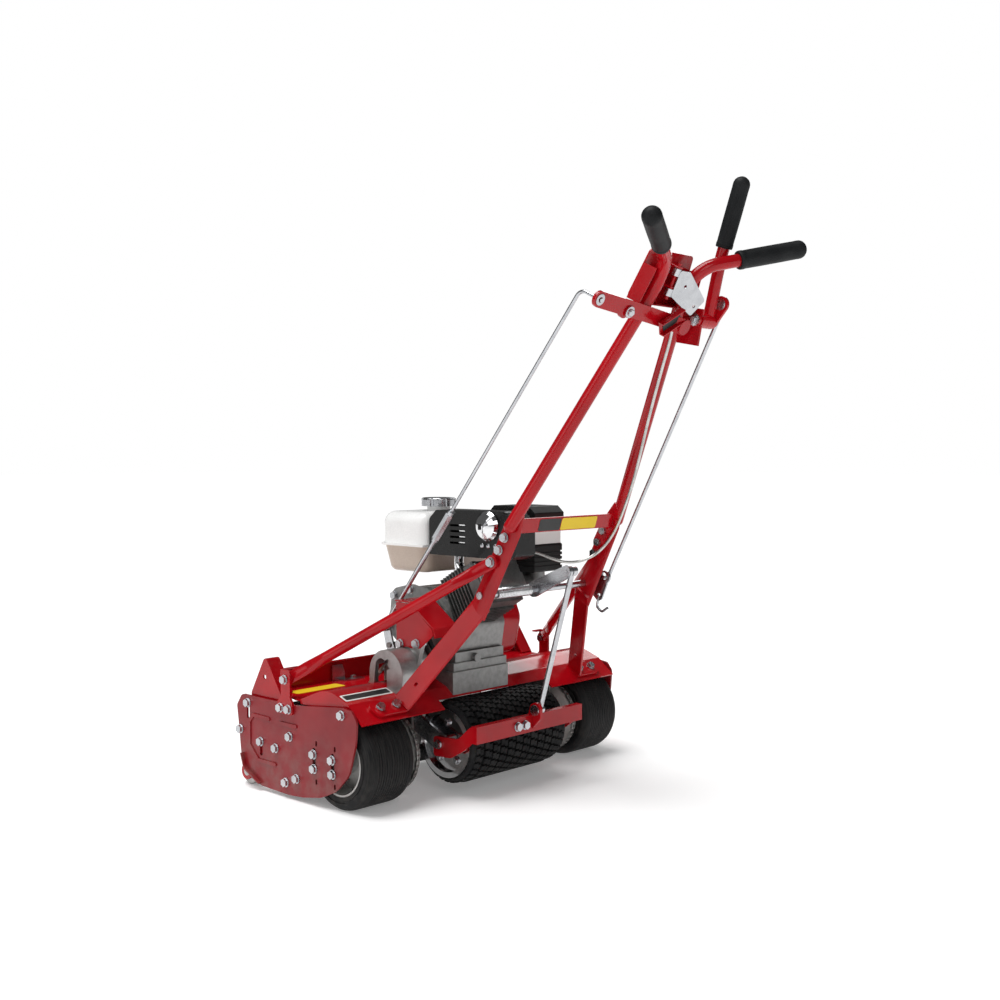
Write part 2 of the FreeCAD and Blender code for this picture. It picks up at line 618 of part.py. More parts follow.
# ---------------------------------------------------------------- engine
def make_engine_bed():
    block = box(-104, 40, 2, 166, 170, 213)
    below = folded(DECK_TOP, -200, 200, 80, [0, 10, 70, 30, 0])
    pads = block.cut(box(-80, 20, 30, 140, 160, 207)).cut(below)
    return pads


def make_crankcase():
    """Cast crankcase with its foot, the bearing web on the left and the sump drain boss."""
    foot = box(-98, 40, 6, 162, 213, 228)
    body = plate([(22, 220), (158, 220), (172, 262), (166, 330), (130, 358), (70, 362), (28, 340), (10, 292)],
                 -90, 40, [6, 6, 20, 30, 20, 14, 20, 24])
    sump = box(-90, 36, 10, 158, 226, 246)
    drain = rod(V(-40, 2, 233), V(-40, 12, 233), 8)
    return join(foot, body, sump, drain)


COVER_BOLTS = [(164, 340), (120, 354), (62, 342), (32, 314), (28, 250), (64, 238), (146, 238), (160, 275)]


def make_side_cover():
    """Left cover of the crankcase, with spot-faced bolts and the crank's bearing boss."""
    outline = [(178, 300), (172, 352), (120, 364), (60, 352), (22, 318), (18, 240), (60, 228.2), (150, 228.2)]
    flange = plate(outline, -98, -90.3, [30, 22, 30, 30, 24, 16, 10, 20])
    dome = turned([(0, 0), (0, 30), (6, 40), (10, 62), (10, 0)], CRANK, -108)
    boss = axle(CRANK, 17, -115, -106)
    post = axle(ARM_PIVOT, 7, -121, -97)
    pin = axle(ARM_PIVOT, 5, -152, -119)
    cover = join(flange, dome, boss, post, pin).cut(group([axle(yz, 9, -130, -98) for yz in COVER_BOLTS]))
    return drilled(cover.cut(axle(CRANK, CRANK_R + FIT, -120, -80)))


CYLINDER_BASE, CYLINDER_TILT = V(0, 58, 318), -30


def inclined(shape):
    """Lay a part drawn along -Y onto the cylinder's inclined axis."""
    tilted = shape.copy()
    tilted.rotate(V(0, 0, 0), X_AXIS, CYLINDER_TILT)
    tilted.translate(CYLINDER_BASE)
    return tilted


def make_cylinder():
    """Finned cylinder and head, drawn along -Y and then inclined."""
    barrel = rod(V(-40, -10, 0), V(-40, -118, 0), 36)
    fins = [box(-88, 8, -y - 2.4, -y, -46, 46) for y in range(34, 92, 8)]
    head = box(-86, 6, -122, -96, -42, 40)
    plug_boss = rod(V(-76, -108, 26), V(-82, -122, 36), 8)
    whole = inclined(join(barrel, head, plug_boss, *fins))
    return whole.cut(make_crankcase())


def make_head_cover():
    """Pressed rocker cover on the head."""
    flange = box(-84, 4, -126.3, -122.3, -36, 36)
    dome = box(-79, -1, -154, -126, -30, 31)
    corners = [e for e in dome.Edges if e.BoundBox.YLength > 20]
    dome = dome.makeFillet(14, corners)
    rim = [e for e in dome.Edges if e.BoundBox.YMax < -153.9]
    dome = dome.makeFillet(9, rim)
    return inclined(join(flange, dome)).cut(make_cylinder())


OUTLET = (-72, 479)


def make_muffler():
    """Silencer box with the elbow from the head and the domed outlet through the guard."""
    can = box(-78, -44, -112, 64, 430, 494)
    can = can.makeFillet(10, can.Edges)
    elbow = pipe([V(-62, 8, 374), V(-62, 30, 404), V(-60, 30, 440)], 9, [0, 14, 0])
    dome = turned([(0, 0), (-11, 0), (-9, 12), (-5, 22), (0.3, 26.5), (2.7, 26.5), (2.7, 0)], OUTLET, -93.3)
    return join(can, elbow, dome, axle(OUTLET, 8, -92, -70)).cut(make_cylinder())


def make_muffler_guard():
    """Pressed black guard round the silencer, louvred on its left face."""
    outline = [(78, 422), (78, 488), (60, 504), (-112, 506), (-138, 486), (-138, 430), (-124, 422)]
    shell = plate(outline, -90, -40, [4, 10, 10, 12, 12, 6, 6])
    hollow = plate([(74, 425), (74, 487), (59, 500), (-111, 502), (-134, 485), (-134, 431), (-123, 425)],
                   -87, -30, [3, 8, 8, 10, 10, 5, 5])
    shell = shell.cut(hollow)
    for row in range(4):
        z = 446 + 10.5 * row
        shell = shell.cut(link([((-13, z), 2.0), ((22, z), 2.0)], -92, -84))
    return shell.cut(axle(OUTLET, 9, -92, -84)).cut(rod(V(-61, 30, 415), V(-61, 30, 430), 10.5))


def rounded_rectangle(x0, x1, y0, y1, z, radius):
    return rounded_wire([V(x0, y0, z), V(x1, y0, z), V(x1, y1, z), V(x0, y1, z)], radius)


CAP = (-11, 135)


def make_fuel_tank():
    """Two-part pressed tank: tapered lower pan, seam flange and rounded top."""
    pan = Part.makeLoft([rounded_rectangle(-86, 82, 94, 198, 385, 22),
                         rounded_rectangle(-96, 92, 84, 208, 435, 26)], True, True)
    pan = pan.makeFillet(14, [e for e in pan.Edges if e.BoundBox.ZMax < 385.1])
    seam = box(-101, 97, 84, 213, 434, 438)
    seam = seam.makeFillet(24, [e for e in seam.Edges if e.BoundBox.ZLength > 3.9 and e.BoundBox.YMin > 100])
    top = box(-96, 92, 84, 208, 437, 498)
    top = top.makeFillet(22, [e for e in top.Edges if e.BoundBox.ZMin > 497.9 or e.BoundBox.ZLength > 50])
    neck = ring((0, 0), 17, 22, 0, 14)
    neck.rotate(V(0, 0, 0), V(0, 1, 0), -90)
    neck.translate(V(CAP[0], CAP[1], 492))
    return join(pan, seam, top, neck)


def make_fuel_cap():
    """Screw cap with a rounded rim and eight shallow finger scallops."""
    cap = Part.makeCylinder(33, 16, V(CAP[0], CAP[1], 506.6))
    cap = cap.makeFillet(4, [e for e in cap.Edges if e.BoundBox.ZMin > 522])
    for k in range(8):
        a = (k + 0.5) * math.pi / 4
        cap = cap.cut(Part.makeCylinder(5, 20, V(CAP[0] + 36 * math.cos(a), CAP[1] + 36 * math.sin(a), 504)))
    return cap.cut(Part.makeCylinder(22.4, 3, V(CAP[0], CAP[1], 505)))


def make_air_cleaner_base():
    """Ribbed black base of the air cleaner, with the throttle cable's stop on its rear face."""
    base = plate([(-110, 394), (0, 394), (0, 444), (-110, 444)], -10, 65, 4)
    for z in (404, 412, 420, 428):
        base = base.cut(ring_groove(z))
    stop = rod(CABLE_END, CABLE_END + V(-12.4, 2.5, 3.2), 4.5)
    base = join(base, box(-36, -4, -117, -109, 426, 438), stop)
    return base.cut(make_cylinder()).cut(make_head_cover())


def ring_groove(z):
    """A shallow horizontal groove round the air cleaner's base."""
    outer, inner = box(-12, 67, -112, 2, z, z + 3), box(-8, 63, -108, -2, z - 1, z + 4)
    return outer.cut(inner)


def make_air_cleaner_cover():
    """Air cleaner cover: pale filter band below, chamfered black lid above."""
    band = box(-8, 63, -108, -2, 444.3, 470)
    lid = plate([(-112, 470), (2, 470), (2, 498), (-12, 512), (-98, 512), (-112, 500)], -12, 67, 3)
    return group([band, lid.common(box(-12, 67, -112, 2, 470.0, 512))])


def make_carburettor():
    """Carburettor block and float bowl on its intake elbow, under the air cleaner."""
    body = box(8, 50, -36, -4, 362, 392)
    bowl = Part.makeCylinder(16, 24, V(30, -22, 338.5))
    horn = rod(V(34, -40, 378), V(34, -56, 378), 15)
    elbow = [rod(V(34, -54, 378), V(34, -78, 378), 13), Part.makeSphere(13, V(34, -78, 378)),
             rod(V(34, -78, 378), V(34, -78, 393.8), 13)]
    whole = join(body, bowl, horn, *elbow)
    return whole.cut(make_cylinder()).cut(make_head_cover()).cut(make_crankcase())


def make_fan_cover():
    """Red pressed fan and starter cover on the engine's right side."""
    outline = [(26, 232), (92, 208.5), (160, 226), (180, 290), (160, 356), (95, 378), (36, 356), (10, 296)]
    shell = plate(outline, 40.3, 92, [26, 30, 30, 40, 34, 34, 34, 34])
    rim = [e for e in shell.Edges if e.BoundBox.XMin > 91.9]
    shell = shell.makeFillet(12, rim)
    starter = turned([(0, 0), (0, 62), (12, 58), (18, 48), (18, 0)], CRANK, 91)
    vents = [axle((95 + 46 * math.cos(a), 300 + 46 * math.sin(a)), 6, 96, 116)
             for a in (k * math.pi / 5 for k in range(10))]
    exit_hole = rod(V(100, 140, 330), V(100, 190, 362), 4)
    return join(shell, starter).cut(group(vents)).cut(exit_hole)


def make_recoil_handle():
    """Starter grip, resting against the fan cover's front."""
    direction = V(0, 50, 32).normalize()
    seat = V(100, 178, 354.3)
    grip = rod(seat + direction * 4, seat + direction * 19, 8)
    bar = rod(seat + direction * 13 + V(-22, 0, 0), seat + direction * 13 + V(22, 0, 0), 7)
    return join(grip, bar, rod(seat + direction * 19, seat - direction * 16, 2.2))


# ---------------------------------------------------------------- controls
def make_cross_shaft():
    """Cross shaft with its lift arm, right-hand crank and the wire hook below the crank."""
    shaft = axle(CROSS, CROSS_R, -146, 156)
    arm = link([(CROSS, 14), (LIFT_EYE, 11)], -7, -2).cut(axle(LIFT_EYE, 4.3, -10, 10))
    eye = link([(CRANK_EYE, 4.6), ((CRANK_EYE[0] + 1.3, CRANK_EYE[1] + 4), 4.6)], 140, 160)
    crank = link([(CROSS, 14), (CRANK_EYE, 12)], 150, 154).cut(eye)
    lobe = link([(CROSS, 10), ((-127, 341), 9), (CRANK_EYE, 10)], 150, 154)
    lobe = lobe.cut(axle((-128, 343), 3, 140, 160)).cut(eye)
    bends = [(-126, 338), (-121, 320), (-134, 311), (-147, 320)]
    hook = pipe([at(152, yz) for yz in bends], 2.5, [0, 7, 7, 0])
    return join(shaft, arm, crank, lobe, hook)


def make_lift_rod():
    """Lift rod between the lift arm and the yoke's lug, with a cross pin at each end."""
    top, low = at(9, LIFT_EYE), at(9, YOKE_EYE)
    bar = rod(top, low, 5)
    pins = [axle(LIFT_EYE, 4, -11, 9), axle(YOKE_EYE, 4, -7, 9)]
    heads = [axle(LIFT_EYE, 10, -10, -7.4), axle(YOKE_EYE, 10, -7, -3.5)]
    eyes = [axle(LIFT_EYE, 9, 3.5, 14), axle(YOKE_EYE, 8, 4.5, 14)]
    return join(bar, *(pins + heads + eyes))


def make_torsion_spring():
    """Envelope of the torsion spring round the cross shaft."""
    return ring(CROSS, 7.0, 10.5, -108, -14)


def make_drive_lever():
    """Drive lever: pivot boss, bent tube and the crank eye that pulls the rod."""
    boss = ring(LEVER, 6 + FIT, 13, LEVER_X - 14, LEVER_X + 6)
    low = at(LEVER_X, LEVER) + V(0, -2, 8)
    tube = pipe([low, V(LEVER_X, -418, 932), V(LEVER_X - 2, -458, 1046)], 10, [0, 120, 0])
    eye = link([(LEVER, 12), (LEVER_EYE, 14)], LEVER_X + 6, LEVER_X + 11)
    pivot_hole, rod_hole = axle(LEVER, 6 + FIT, 80, 130), axle(LEVER_EYE, 4 + FIT, 100, 140)
    return join(boss, tube.cut(pivot_hole), eye.cut(pivot_hole)).cut(rod_hole)


def make_lever_pin():
    """Pivot pin of the drive lever, with its round head towards the handle."""
    return join(axle(LEVER, 6, 70, LEVER_X + 14), axle(LEVER, 11, 70, 77.7), axle(LEVER, 10, 121.3, 126))


def make_lever_grip():
    low, tip = V(LEVER_X, -418, 932), V(LEVER_X - 2, -458, 1046)
    direction = (tip - low).normalize()
    start = tip - direction * 104
    body = rod(start, tip, 14.5).fuse(Part.makeSphere(14.5, tip))
    return body.cut(rod(start - direction * 4, tip, 10)).removeSplitter()


def make_drive_rod():
    """Long rod from the lever's eye down to the cross shaft's crank, bent in at both ends."""
    top, low = at(LEVER_X + 18, LEVER_EYE), at(162, CRANK_EYE)
    bar = pipe([at(LEVER_X + 4, LEVER_EYE), top, low, at(146, CRANK_EYE)], 3.5, [0, 6, 6, 0])
    return join(bar, axle(LEVER_EYE, 9, LEVER_X + 12, LEVER_X + 14))


def make_reel_lever():
    """Flat reel lever across both handle tubes, curved back to a rounded end with a thumb channel."""
    n, u = HANDLE_REAR, HANDLE_UP
    path = [REEL_PIVOT + V(-REEL_ARM, 0, 0) + u * REEL_RISE, REEL_PIVOT + V(62, 0, 0) - u * 2,
            REEL_PIVOT + V(98, 0, 0) + n * 9 - u * 5, REEL_PIVOT + V(129, 0, 0) + n * 22 - u * 8.4]
    wire = rounded_wire(path, [0, 60, 40, 0], closed=False)
    start = path[0]
    corners = [start + u * 13 + n * 2.5, start - u * 13 + n * 2.5, start - u * 13 - n * 2.5,
               start + u * 13 - n * 2.5]
    bar = wire.makePipeShell([Part.makePolygon(corners + [corners[0]])], True, True)
    ends = [Part.makeCylinder(13, 5, path[0] - n * 2.5, n), Part.makeCylinder(13, 5, path[3] - n * 2.5, n)]
    middle, along = REEL_PIVOT + V(98, 0, 0) + n * 15 - u * 3, (V(43, 0, 0) + u * 30).normalize()
    across = along.cross(n).normalize()
    low, high = middle - along * 26, middle + along * 26
    channel = [flat_bar(low, high, across, 24, 2.5)]
    for side in (-1, 1):
        shift = across * (10.8 * side) + n * 4
        channel.append(flat_bar(low + shift, high + shift, n, 10, 2.5))
    post = Part.makeCylinder(7, 12, middle - n * 10, n)
    whole = join(bar, post, *(ends + channel))
    hole = Part.makeCylinder(5.4, 20, path[0] - n * 10, n)
    pivot = Part.makeCylinder(6 + FIT, 20, REEL_PIVOT - n * 10, n)
    return whole.cut(hole).cut(pivot)


def make_reel_pivot():
    """Bracket off the left handle tube with the shouldered pivot bolt of the reel lever."""
    n, u = HANDLE_REAR, HANDLE_UP
    pin = Part.makeCylinder(6, 19, REEL_PIVOT - n * 12, n)
    head = Part.makeCylinder(10, 2, REEL_PIVOT + n * 3, n)
    plate_back = REEL_PIVOT - n * 6.5
    bracket = flat_bar(plate_back + V(-2, 0, 0), plate_back + V(45.5, 0, 0), u, 22, 5)
    lug = Part.makeCylinder(14, 5, REEL_PIVOT - n * 9, n)
    return join(pin, head, lug, bracket).cut(make_handle_tube())


def make_reel_rod():
    """Clutch rod: cranked upper rod, lock nuts, hexagonal turnbuckle and heavier lower rod."""
    n, u = HANDLE_REAR, HANDLE_UP
    hole = REEL_PIVOT + V(-REEL_ARM, 0, 0) + u * REEL_RISE
    top, low = hole - n * 40, at(-154, ARM_EYE)
    along = (low - top).normalize()
    length = (low - top).Length
    sleeve, sleeve_end = top + along * (length * 0.625), top + along * (length * 0.70)
    upper = pipe([hole + n * 6, top, sleeve], 3.0, [0, 16, 0])
    lower = pipe([sleeve_end, low - along * 6], 4.0, [0, 0])
    side = along.cross(X_AXIS).normalize()
    other = along.cross(side)
    hexagon = [sleeve + side * (7.5 * math.cos(k * math.pi / 3)) + other * (7.5 * math.sin(k * math.pi / 3))
               for k in range(6)]
    turnbuckle = Part.Face(Part.makePolygon(hexagon + [hexagon[0]])).extrude(sleeve_end - sleeve)
    nuts = [rod(sleeve - along * 7, sleeve, 6.5), rod(sleeve_end, sleeve_end + along * 6, 6.5)]
    eye = join(axle(ARM_EYE, 7, -158, -150.5), axle(ARM_EYE, 3.5, -158, -143))
    return join(upper, lower, turnbuckle, eye, *nuts)


def make_throttle_lever():
    """Zinc throttle lever: a flat plate on two rolled knuckles round an upright pin."""
    u, n = HANDLE_UP, HANDLE_REAR
    shapes = []
    for height in (6, 40):
        knuckle = Part.makeCylinder(7, 12, THROTTLE_BASE + u * height, u)
        shapes.append(knuckle.cut(Part.makeCylinder(3 + FIT, 12, THROTTLE_BASE + u * height, u)))
    outline = [(0, 51), (24, 51), (83, 11), (63, -19), (0, 7)]
    corners = [THROTTLE_BASE + V(x, 0, 0) + u * up + n * (5.5 + 0.1 * x) for x, up in outline]
    normal = (corners[1] - corners[0]).cross(corners[4] - corners[0]).normalize()
    sheet = Part.Face(rounded_wire(corners, 5)).extrude(normal * (-2 if normal.dot(n) < 0 else 2))
    for spot in (V(24, 0, 0) + u * 27, V(62, 0, 0) - u * 2):
        sheet = sheet.cut(rod(THROTTLE_BASE + spot - n * 4, THROTTLE_BASE + spot + n * 30, 3))
    return join(sheet, *shapes)


def make_throttle_pin():
    u, n = HANDLE_UP, HANDLE_REAR
    pin = Part.makeCylinder(3, 60, THROTTLE_BASE, u)
    lugs = [flat_bar(THROTTLE_BASE + u * h - n * 27, THROTTLE_BASE + u * h + n * 5, X_AXIS, 12, 3)
            for h in (20.2, 54.2)]
    return join(pin, *lugs)


def make_throttle_cable():
    """Throttle cable: down the right handle tube, then across to the stop on the air cleaner."""
    points = [V(26, -389, 840), V(33, -372, 796), V(44, -348, 752), V(58, -322, 706), V(72, -296, 657),
              V(86, -271, 606), V(97, -247, 555), V(99, -225, 506), V(98, -204, 463), V(88, -180, 430),
              V(68, -158, 413), V(40, -141, 411), V(12, -130, 419), V(-8, -124, 428), CABLE_END]
    bends = []
    for before, corner, after in zip(points, points[1:], points[2:]):
        turn = math.pi - (before - corner).getAngle(after - corner)
        run = min((before - corner).Length, (after - corner).Length)
        bends.append(0.45 * run / math.tan(turn / 2))
    print("throttle cable bend radii:", [round(b) for b in bends])
    path = rounded_wire(points, [0] + bends + [0], closed=False)
    cable = pipe(points, CABLE_R, [0] + bends + [0])
    print("throttle cable length", round(path.Length), "volume ratio",
          round(cable.Volume / (math.pi * CABLE_R ** 2 * path.Length), 4))
    return cable


# ---------------------------------------------------------------- assembly
def place_bolts():
    """Every frame bolt: feet, legs, side plates, brackets and the chain case."""
    made = []
    slope_in = V(0, 0.62, -0.785)
    surface = V(0, 2, 172.8) + V(0, -0.62, 0.785) * 6.0
    for x in (279.5, 244.0):
        made.append(bolt(V(-x, 0, 0) + surface, slope_in, 9.6))
    through_plate = [(316, 103), (169, 111), (150, 40)]
    made += [bolt(at(-PLATE_OUT, yz), X_AXIS, 4) for yz in through_plate]
    made.append(bolt(at(-PLATE_OUT, (293, 154)), X_AXIS, 10))
    made.append(bolt(at(-PLATE_OUT, (27, 169)), X_AXIS, 10, False))
    made.append(bolt(at(-PLATE_OUT, (254, 89)), X_AXIS, 8.5))
    tapped_housing = [(102, 91), (101, 66), (52, 89), (51, 65)]
    made += [bolt(at(-PLATE_OUT, yz), X_AXIS, 8, False) for yz in tapped_housing]
    made.append(bolt(at(-PLATE_OUT, (210, 84)), X_AXIS, 4, False))
    made.append(bolt(at(-PLATE_OUT, (181, 28)), X_AXIS, 16, False))
    made += [bolt(at(-344, yz), X_AXIS, 14) for yz in ((190, 160), (167, 160))]
    made.append(bolt(at(-344, (178, 211)), X_AXIS, 10.2))
    made.append(bolt(at(-138.5, LEG_BOLTS[0]), X_AXIS, 13.3))
    made.append(bolt(at(-139.5, LEG_BOLTS[1]), X_AXIS, 14.3))
    made.append(bolt(at(-146.1, LEG_BOLTS[2]), X_AXIS, 16))
    left_count = len(BOLTS)
    made += [bolt(V(-176, 62, 268), X_AXIS, 11), bolt(V(-176, 20, 272), X_AXIS, 11)]
    for seat, inward, grip, nutted in BOLTS[:left_count]:
        made.append(bolt(V(-seat.x, seat.y, seat.z), V(-inward.x, inward.y, inward.z), grip, nutted))
    return group(made)


def place_yoke_bolts():
    """Bolts of the yoke: two on its back, one on each end of the centre axle."""
    back = V(0, 1, 0)
    made = [bolt(V(x, -98, 121), back, 5) for x in (-42, -22)]
    made.append(bolt(at(-145.5, CENTRE), X_AXIS, 6.0, False))
    made.append(bolt(at(137.5, CENTRE), -X_AXIS, 6.0, False))
    return group(made)


def place_engine_bolts():
    """Flange bolts round the crankcase's side cover."""
    return group([bolt(at(-98, yz), X_AXIS, 7.6, False) for yz in COVER_BOLTS])


def both(shape):
    return [shape, mirrored(shape)]


def build():
    nodes = {"bolts": group([place_bolts(), place_engine_bolts()]), "yoke_bolts": place_yoke_bolts()}
    nodes["deck"] = make_deck()
    nodes["front_guard"] = make_front_guard()
    nodes["side_plate_left"], nodes["side_plate_right"] = both(make_side_plate())
    nodes["catcher_hooks"] = group(both(make_catcher_hook()))
    nodes["strut_brackets"] = group(both(make_strut_bracket()))
    nodes["handle_feet"] = group(both(make_handle_foot()))
    nodes["handle_tubes"] = group(both(make_handle_tube()))
    nodes["handle_grips"] = group(both(make_grip()))
    nodes["struts"] = group(both(make_strut()))
    nodes["crossbar"] = make_crossbar()
    nodes["handle_head"] = make_handle_head()
    nodes["bedknife"] = make_bedknife()
    nodes["reel"] = make_reel()
    nodes["roller_brackets"] = group(both(make_roller_bracket()))
    nodes["front_roller"] = make_front_roller()
    bearings = make_axle_bearings()
    nodes["axle_bearings"] = group(bearings + [mirrored(b) for b in bearings])
    nodes["tyre_left"], nodes["tyre_right"] = both(make_tyre())
    nodes["wheel_hub_left"], nodes["wheel_hub_right"] = both(make_wheel_hub())
    nodes["centre_tyre"] = make_centre_tyre()
    nodes["centre_hub"] = make_centre_hub()
    nodes["swing_arms"] = make_swing_arms()
    nodes["yoke"] = make_yoke()
    nodes["counter_shaft"] = make_counter_shaft()
    nodes["output_shaft"] = make_output_shaft()
    nodes["engine_pulley"] = make_engine_pulley()
    nodes["drive_belt"] = make_belt()
    nodes["chains"] = make_chains()
    nodes["chain_case"] = make_chain_case()
    nodes["belt_guard"] = make_belt_guard()
    nodes["clutch_arm"] = make_clutch_arm()
    nodes["idler_pulley"] = ring(IDLER, 4 + FIT, 8, BELT_X[0] + 1, BELT_X[1] - 1)
    nodes["engine_bed"] = make_engine_bed()
    nodes["crankcase"] = make_crankcase()
    nodes["side_cover"] = make_side_cover()
    nodes["cylinder"] = make_cylinder()
    nodes["head_cover"] = make_head_cover()
    nodes["muffler"] = make_muffler()
    nodes["muffler_guard"] = make_muffler_guard()
    nodes["fuel_tank"] = make_fuel_tank()
    nodes["fuel_cap"] = make_fuel_cap()
    nodes["air_cleaner_base"] = make_air_cleaner_base()
    nodes["air_cleaner_cover"] = make_air_cleaner_cover()
    nodes["carburettor"] = make_carburettor()
    nodes["fan_cover"] = make_fan_cover()
    nodes["recoil_handle"] = make_recoil_handle()
    nodes["cross_shaft"] = make_cross_shaft()
    nodes["torsion_spring"] = make_torsion_spring()
    nodes["lift_rod"] = make_lift_rod()
    nodes["drive_lever"] = make_drive_lever()
    nodes["lever_grip"] = make_lever_grip()
    nodes["drive_rod"] = make_drive_rod()
    nodes["reel_lever"] = make_reel_lever()
    nodes["reel_rod"] = make_reel_rod()
    nodes["throttle_lever"] = make_throttle_lever()
    nodes["throttle_cable"] = make_throttle_cable()
    return nodes


for name, shape in build().items():
    shape.translate(V(0, ORIGIN_Y, 0))
    shape.exportStep(f"parts/{name}.step")
    faults = "" if shape.isValid() else "  NOT VALID"
    print(f"{name:20s} solids {len(shape.Solids):3d}  volume {shape.Volume / 1000:9.1f} cm3{faults}")
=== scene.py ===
import bpy
import bmesh
import json
import math
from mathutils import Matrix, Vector


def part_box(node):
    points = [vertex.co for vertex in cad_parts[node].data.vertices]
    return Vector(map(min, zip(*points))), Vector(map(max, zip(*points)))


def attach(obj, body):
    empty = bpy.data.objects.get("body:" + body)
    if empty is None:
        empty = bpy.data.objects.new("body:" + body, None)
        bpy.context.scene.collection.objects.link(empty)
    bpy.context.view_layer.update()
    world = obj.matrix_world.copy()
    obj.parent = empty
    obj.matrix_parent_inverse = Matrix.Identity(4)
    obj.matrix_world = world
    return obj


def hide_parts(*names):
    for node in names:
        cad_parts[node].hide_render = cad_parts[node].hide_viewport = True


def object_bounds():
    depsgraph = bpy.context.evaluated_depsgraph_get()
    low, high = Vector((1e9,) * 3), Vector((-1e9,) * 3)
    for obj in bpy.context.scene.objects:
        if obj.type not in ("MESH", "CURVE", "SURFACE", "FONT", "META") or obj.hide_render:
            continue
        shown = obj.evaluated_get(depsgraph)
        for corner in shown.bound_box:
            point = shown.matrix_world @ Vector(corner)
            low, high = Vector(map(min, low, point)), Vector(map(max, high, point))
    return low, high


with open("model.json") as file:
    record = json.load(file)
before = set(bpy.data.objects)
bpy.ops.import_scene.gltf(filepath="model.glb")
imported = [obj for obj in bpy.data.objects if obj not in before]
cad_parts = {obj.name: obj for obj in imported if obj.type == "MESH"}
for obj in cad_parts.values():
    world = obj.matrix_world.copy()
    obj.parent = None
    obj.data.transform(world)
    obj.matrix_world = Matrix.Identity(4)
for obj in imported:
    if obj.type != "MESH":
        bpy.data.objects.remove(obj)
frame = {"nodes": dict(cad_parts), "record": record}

CAD_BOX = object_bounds()
RECORD = frame["record"]
NODES = frame["nodes"]
JOINTS = {j["name"]: j for j in RECORD["behaviour"]["joints"]}


# ---------------------------------------------------------------- positions from the frame
def joint_at(name):
    return Vector(JOINTS[name]["pos_m"])


WHEEL = joint_at("wheel_left_spin")
FORE = WHEEL.y - 0.050            # the frame's Y of the handle feet's bolt line


def P(x, y, z):
    """A point in millimetres from the centre plane, the bolt line of the feet and the ground."""
    return Vector((x / 1000, y / 1000 + FORE, z / 1000))


# ---------------------------------------------------------------- materials
class Shader:
    """A principled material with a few shorthand calls for procedural detail."""

    def __init__(self, name):
        self.mat = bpy.data.materials.new(name)
        self.mat.use_nodes = True
        self.tree = self.mat.node_tree
        self.tree.nodes.clear()
        out = self.tree.nodes.new("ShaderNodeOutputMaterial")
        self.bsdf = self.tree.nodes.new("ShaderNodeBsdfPrincipled")
        self.tree.links.new(self.bsdf.outputs[0], out.inputs[0])
        self.coord = self.tree.nodes.new("ShaderNodeTexCoord").outputs["Object"]

    def link(self, a, b):
        self.tree.links.new(a, b)

    def stretched(self, scale):
        node = self.tree.nodes.new("ShaderNodeMapping")
        node.inputs["Scale"].default_value = scale
        self.link(self.coord, node.inputs[0])
        return node.outputs[0]

    def noise(self, scale, detail, rough=0.55, vector=None):
        node = self.tree.nodes.new("ShaderNodeTexNoise")
        node.inputs["Scale"].default_value = scale
        node.inputs["Detail"].default_value = detail
        node.inputs["Roughness"].default_value = rough
        self.link(vector or self.coord, node.inputs["Vector"])
        return node.outputs["Fac"]

    def ramp(self, value, low, high, to_low=0.0, to_high=1.0):
        node = self.tree.nodes.new("ShaderNodeMapRange")
        node.interpolation_type = "SMOOTHSTEP"
        for key, number in (("From Min", low), ("From Max", high), ("To Min", to_low), ("To Max", to_high)):
            node.inputs[key].default_value = number
        self.link(value, node.inputs["Value"])
        return node.outputs[0]

    def times(self, a, b):
        node = self.tree.nodes.new("ShaderNodeMath")
        node.operation = "MULTIPLY"
        self.link(a, node.inputs[0])
        if isinstance(b, float):
            node.inputs[1].default_value = b
        else:
            self.link(b, node.inputs[1])
        return node.outputs[0]

    def mix(self, factor, a, b):
        node = self.tree.nodes.new("ShaderNodeMix")
        node.data_type = "RGBA"
        self.link(factor, node.inputs[0])
        for socket, value in ((node.inputs[6], a), (node.inputs[7], b)):
            if isinstance(value, tuple):
                socket.default_value = (*value, 1)
            else:
                self.link(value, socket)
        return node.outputs[2]

    def height(self):
        node = self.tree.nodes.new("ShaderNodeSeparateXYZ")
        self.link(self.coord, node.inputs[0])
        return node.outputs[2]

    def bump(self, value, distance, strength, after=None):
        node = self.tree.nodes.new("ShaderNodeBump")
        node.inputs["Distance"].default_value = distance
        node.inputs["Strength"].default_value = strength
        self.link(value, node.inputs["Height"])
        if after is not None:
            self.link(after, node.inputs["Normal"])
        return node.outputs[0]

    def finish(self, colour, roughness, normal=None, metallic=0.0, **fixed):
        self.bsdf.inputs["Metallic"].default_value = metallic
        self.link(colour, self.bsdf.inputs["Base Color"])
        self.link(roughness, self.bsdf.inputs["Roughness"])
        if normal is not None:
            self.link(normal, self.bsdf.inputs["Normal"])
        for key, value in fixed.items():
            self.bsdf.inputs[key.replace("_", " ").title().replace("Ior", "IOR")].default_value = value
        return self.mat


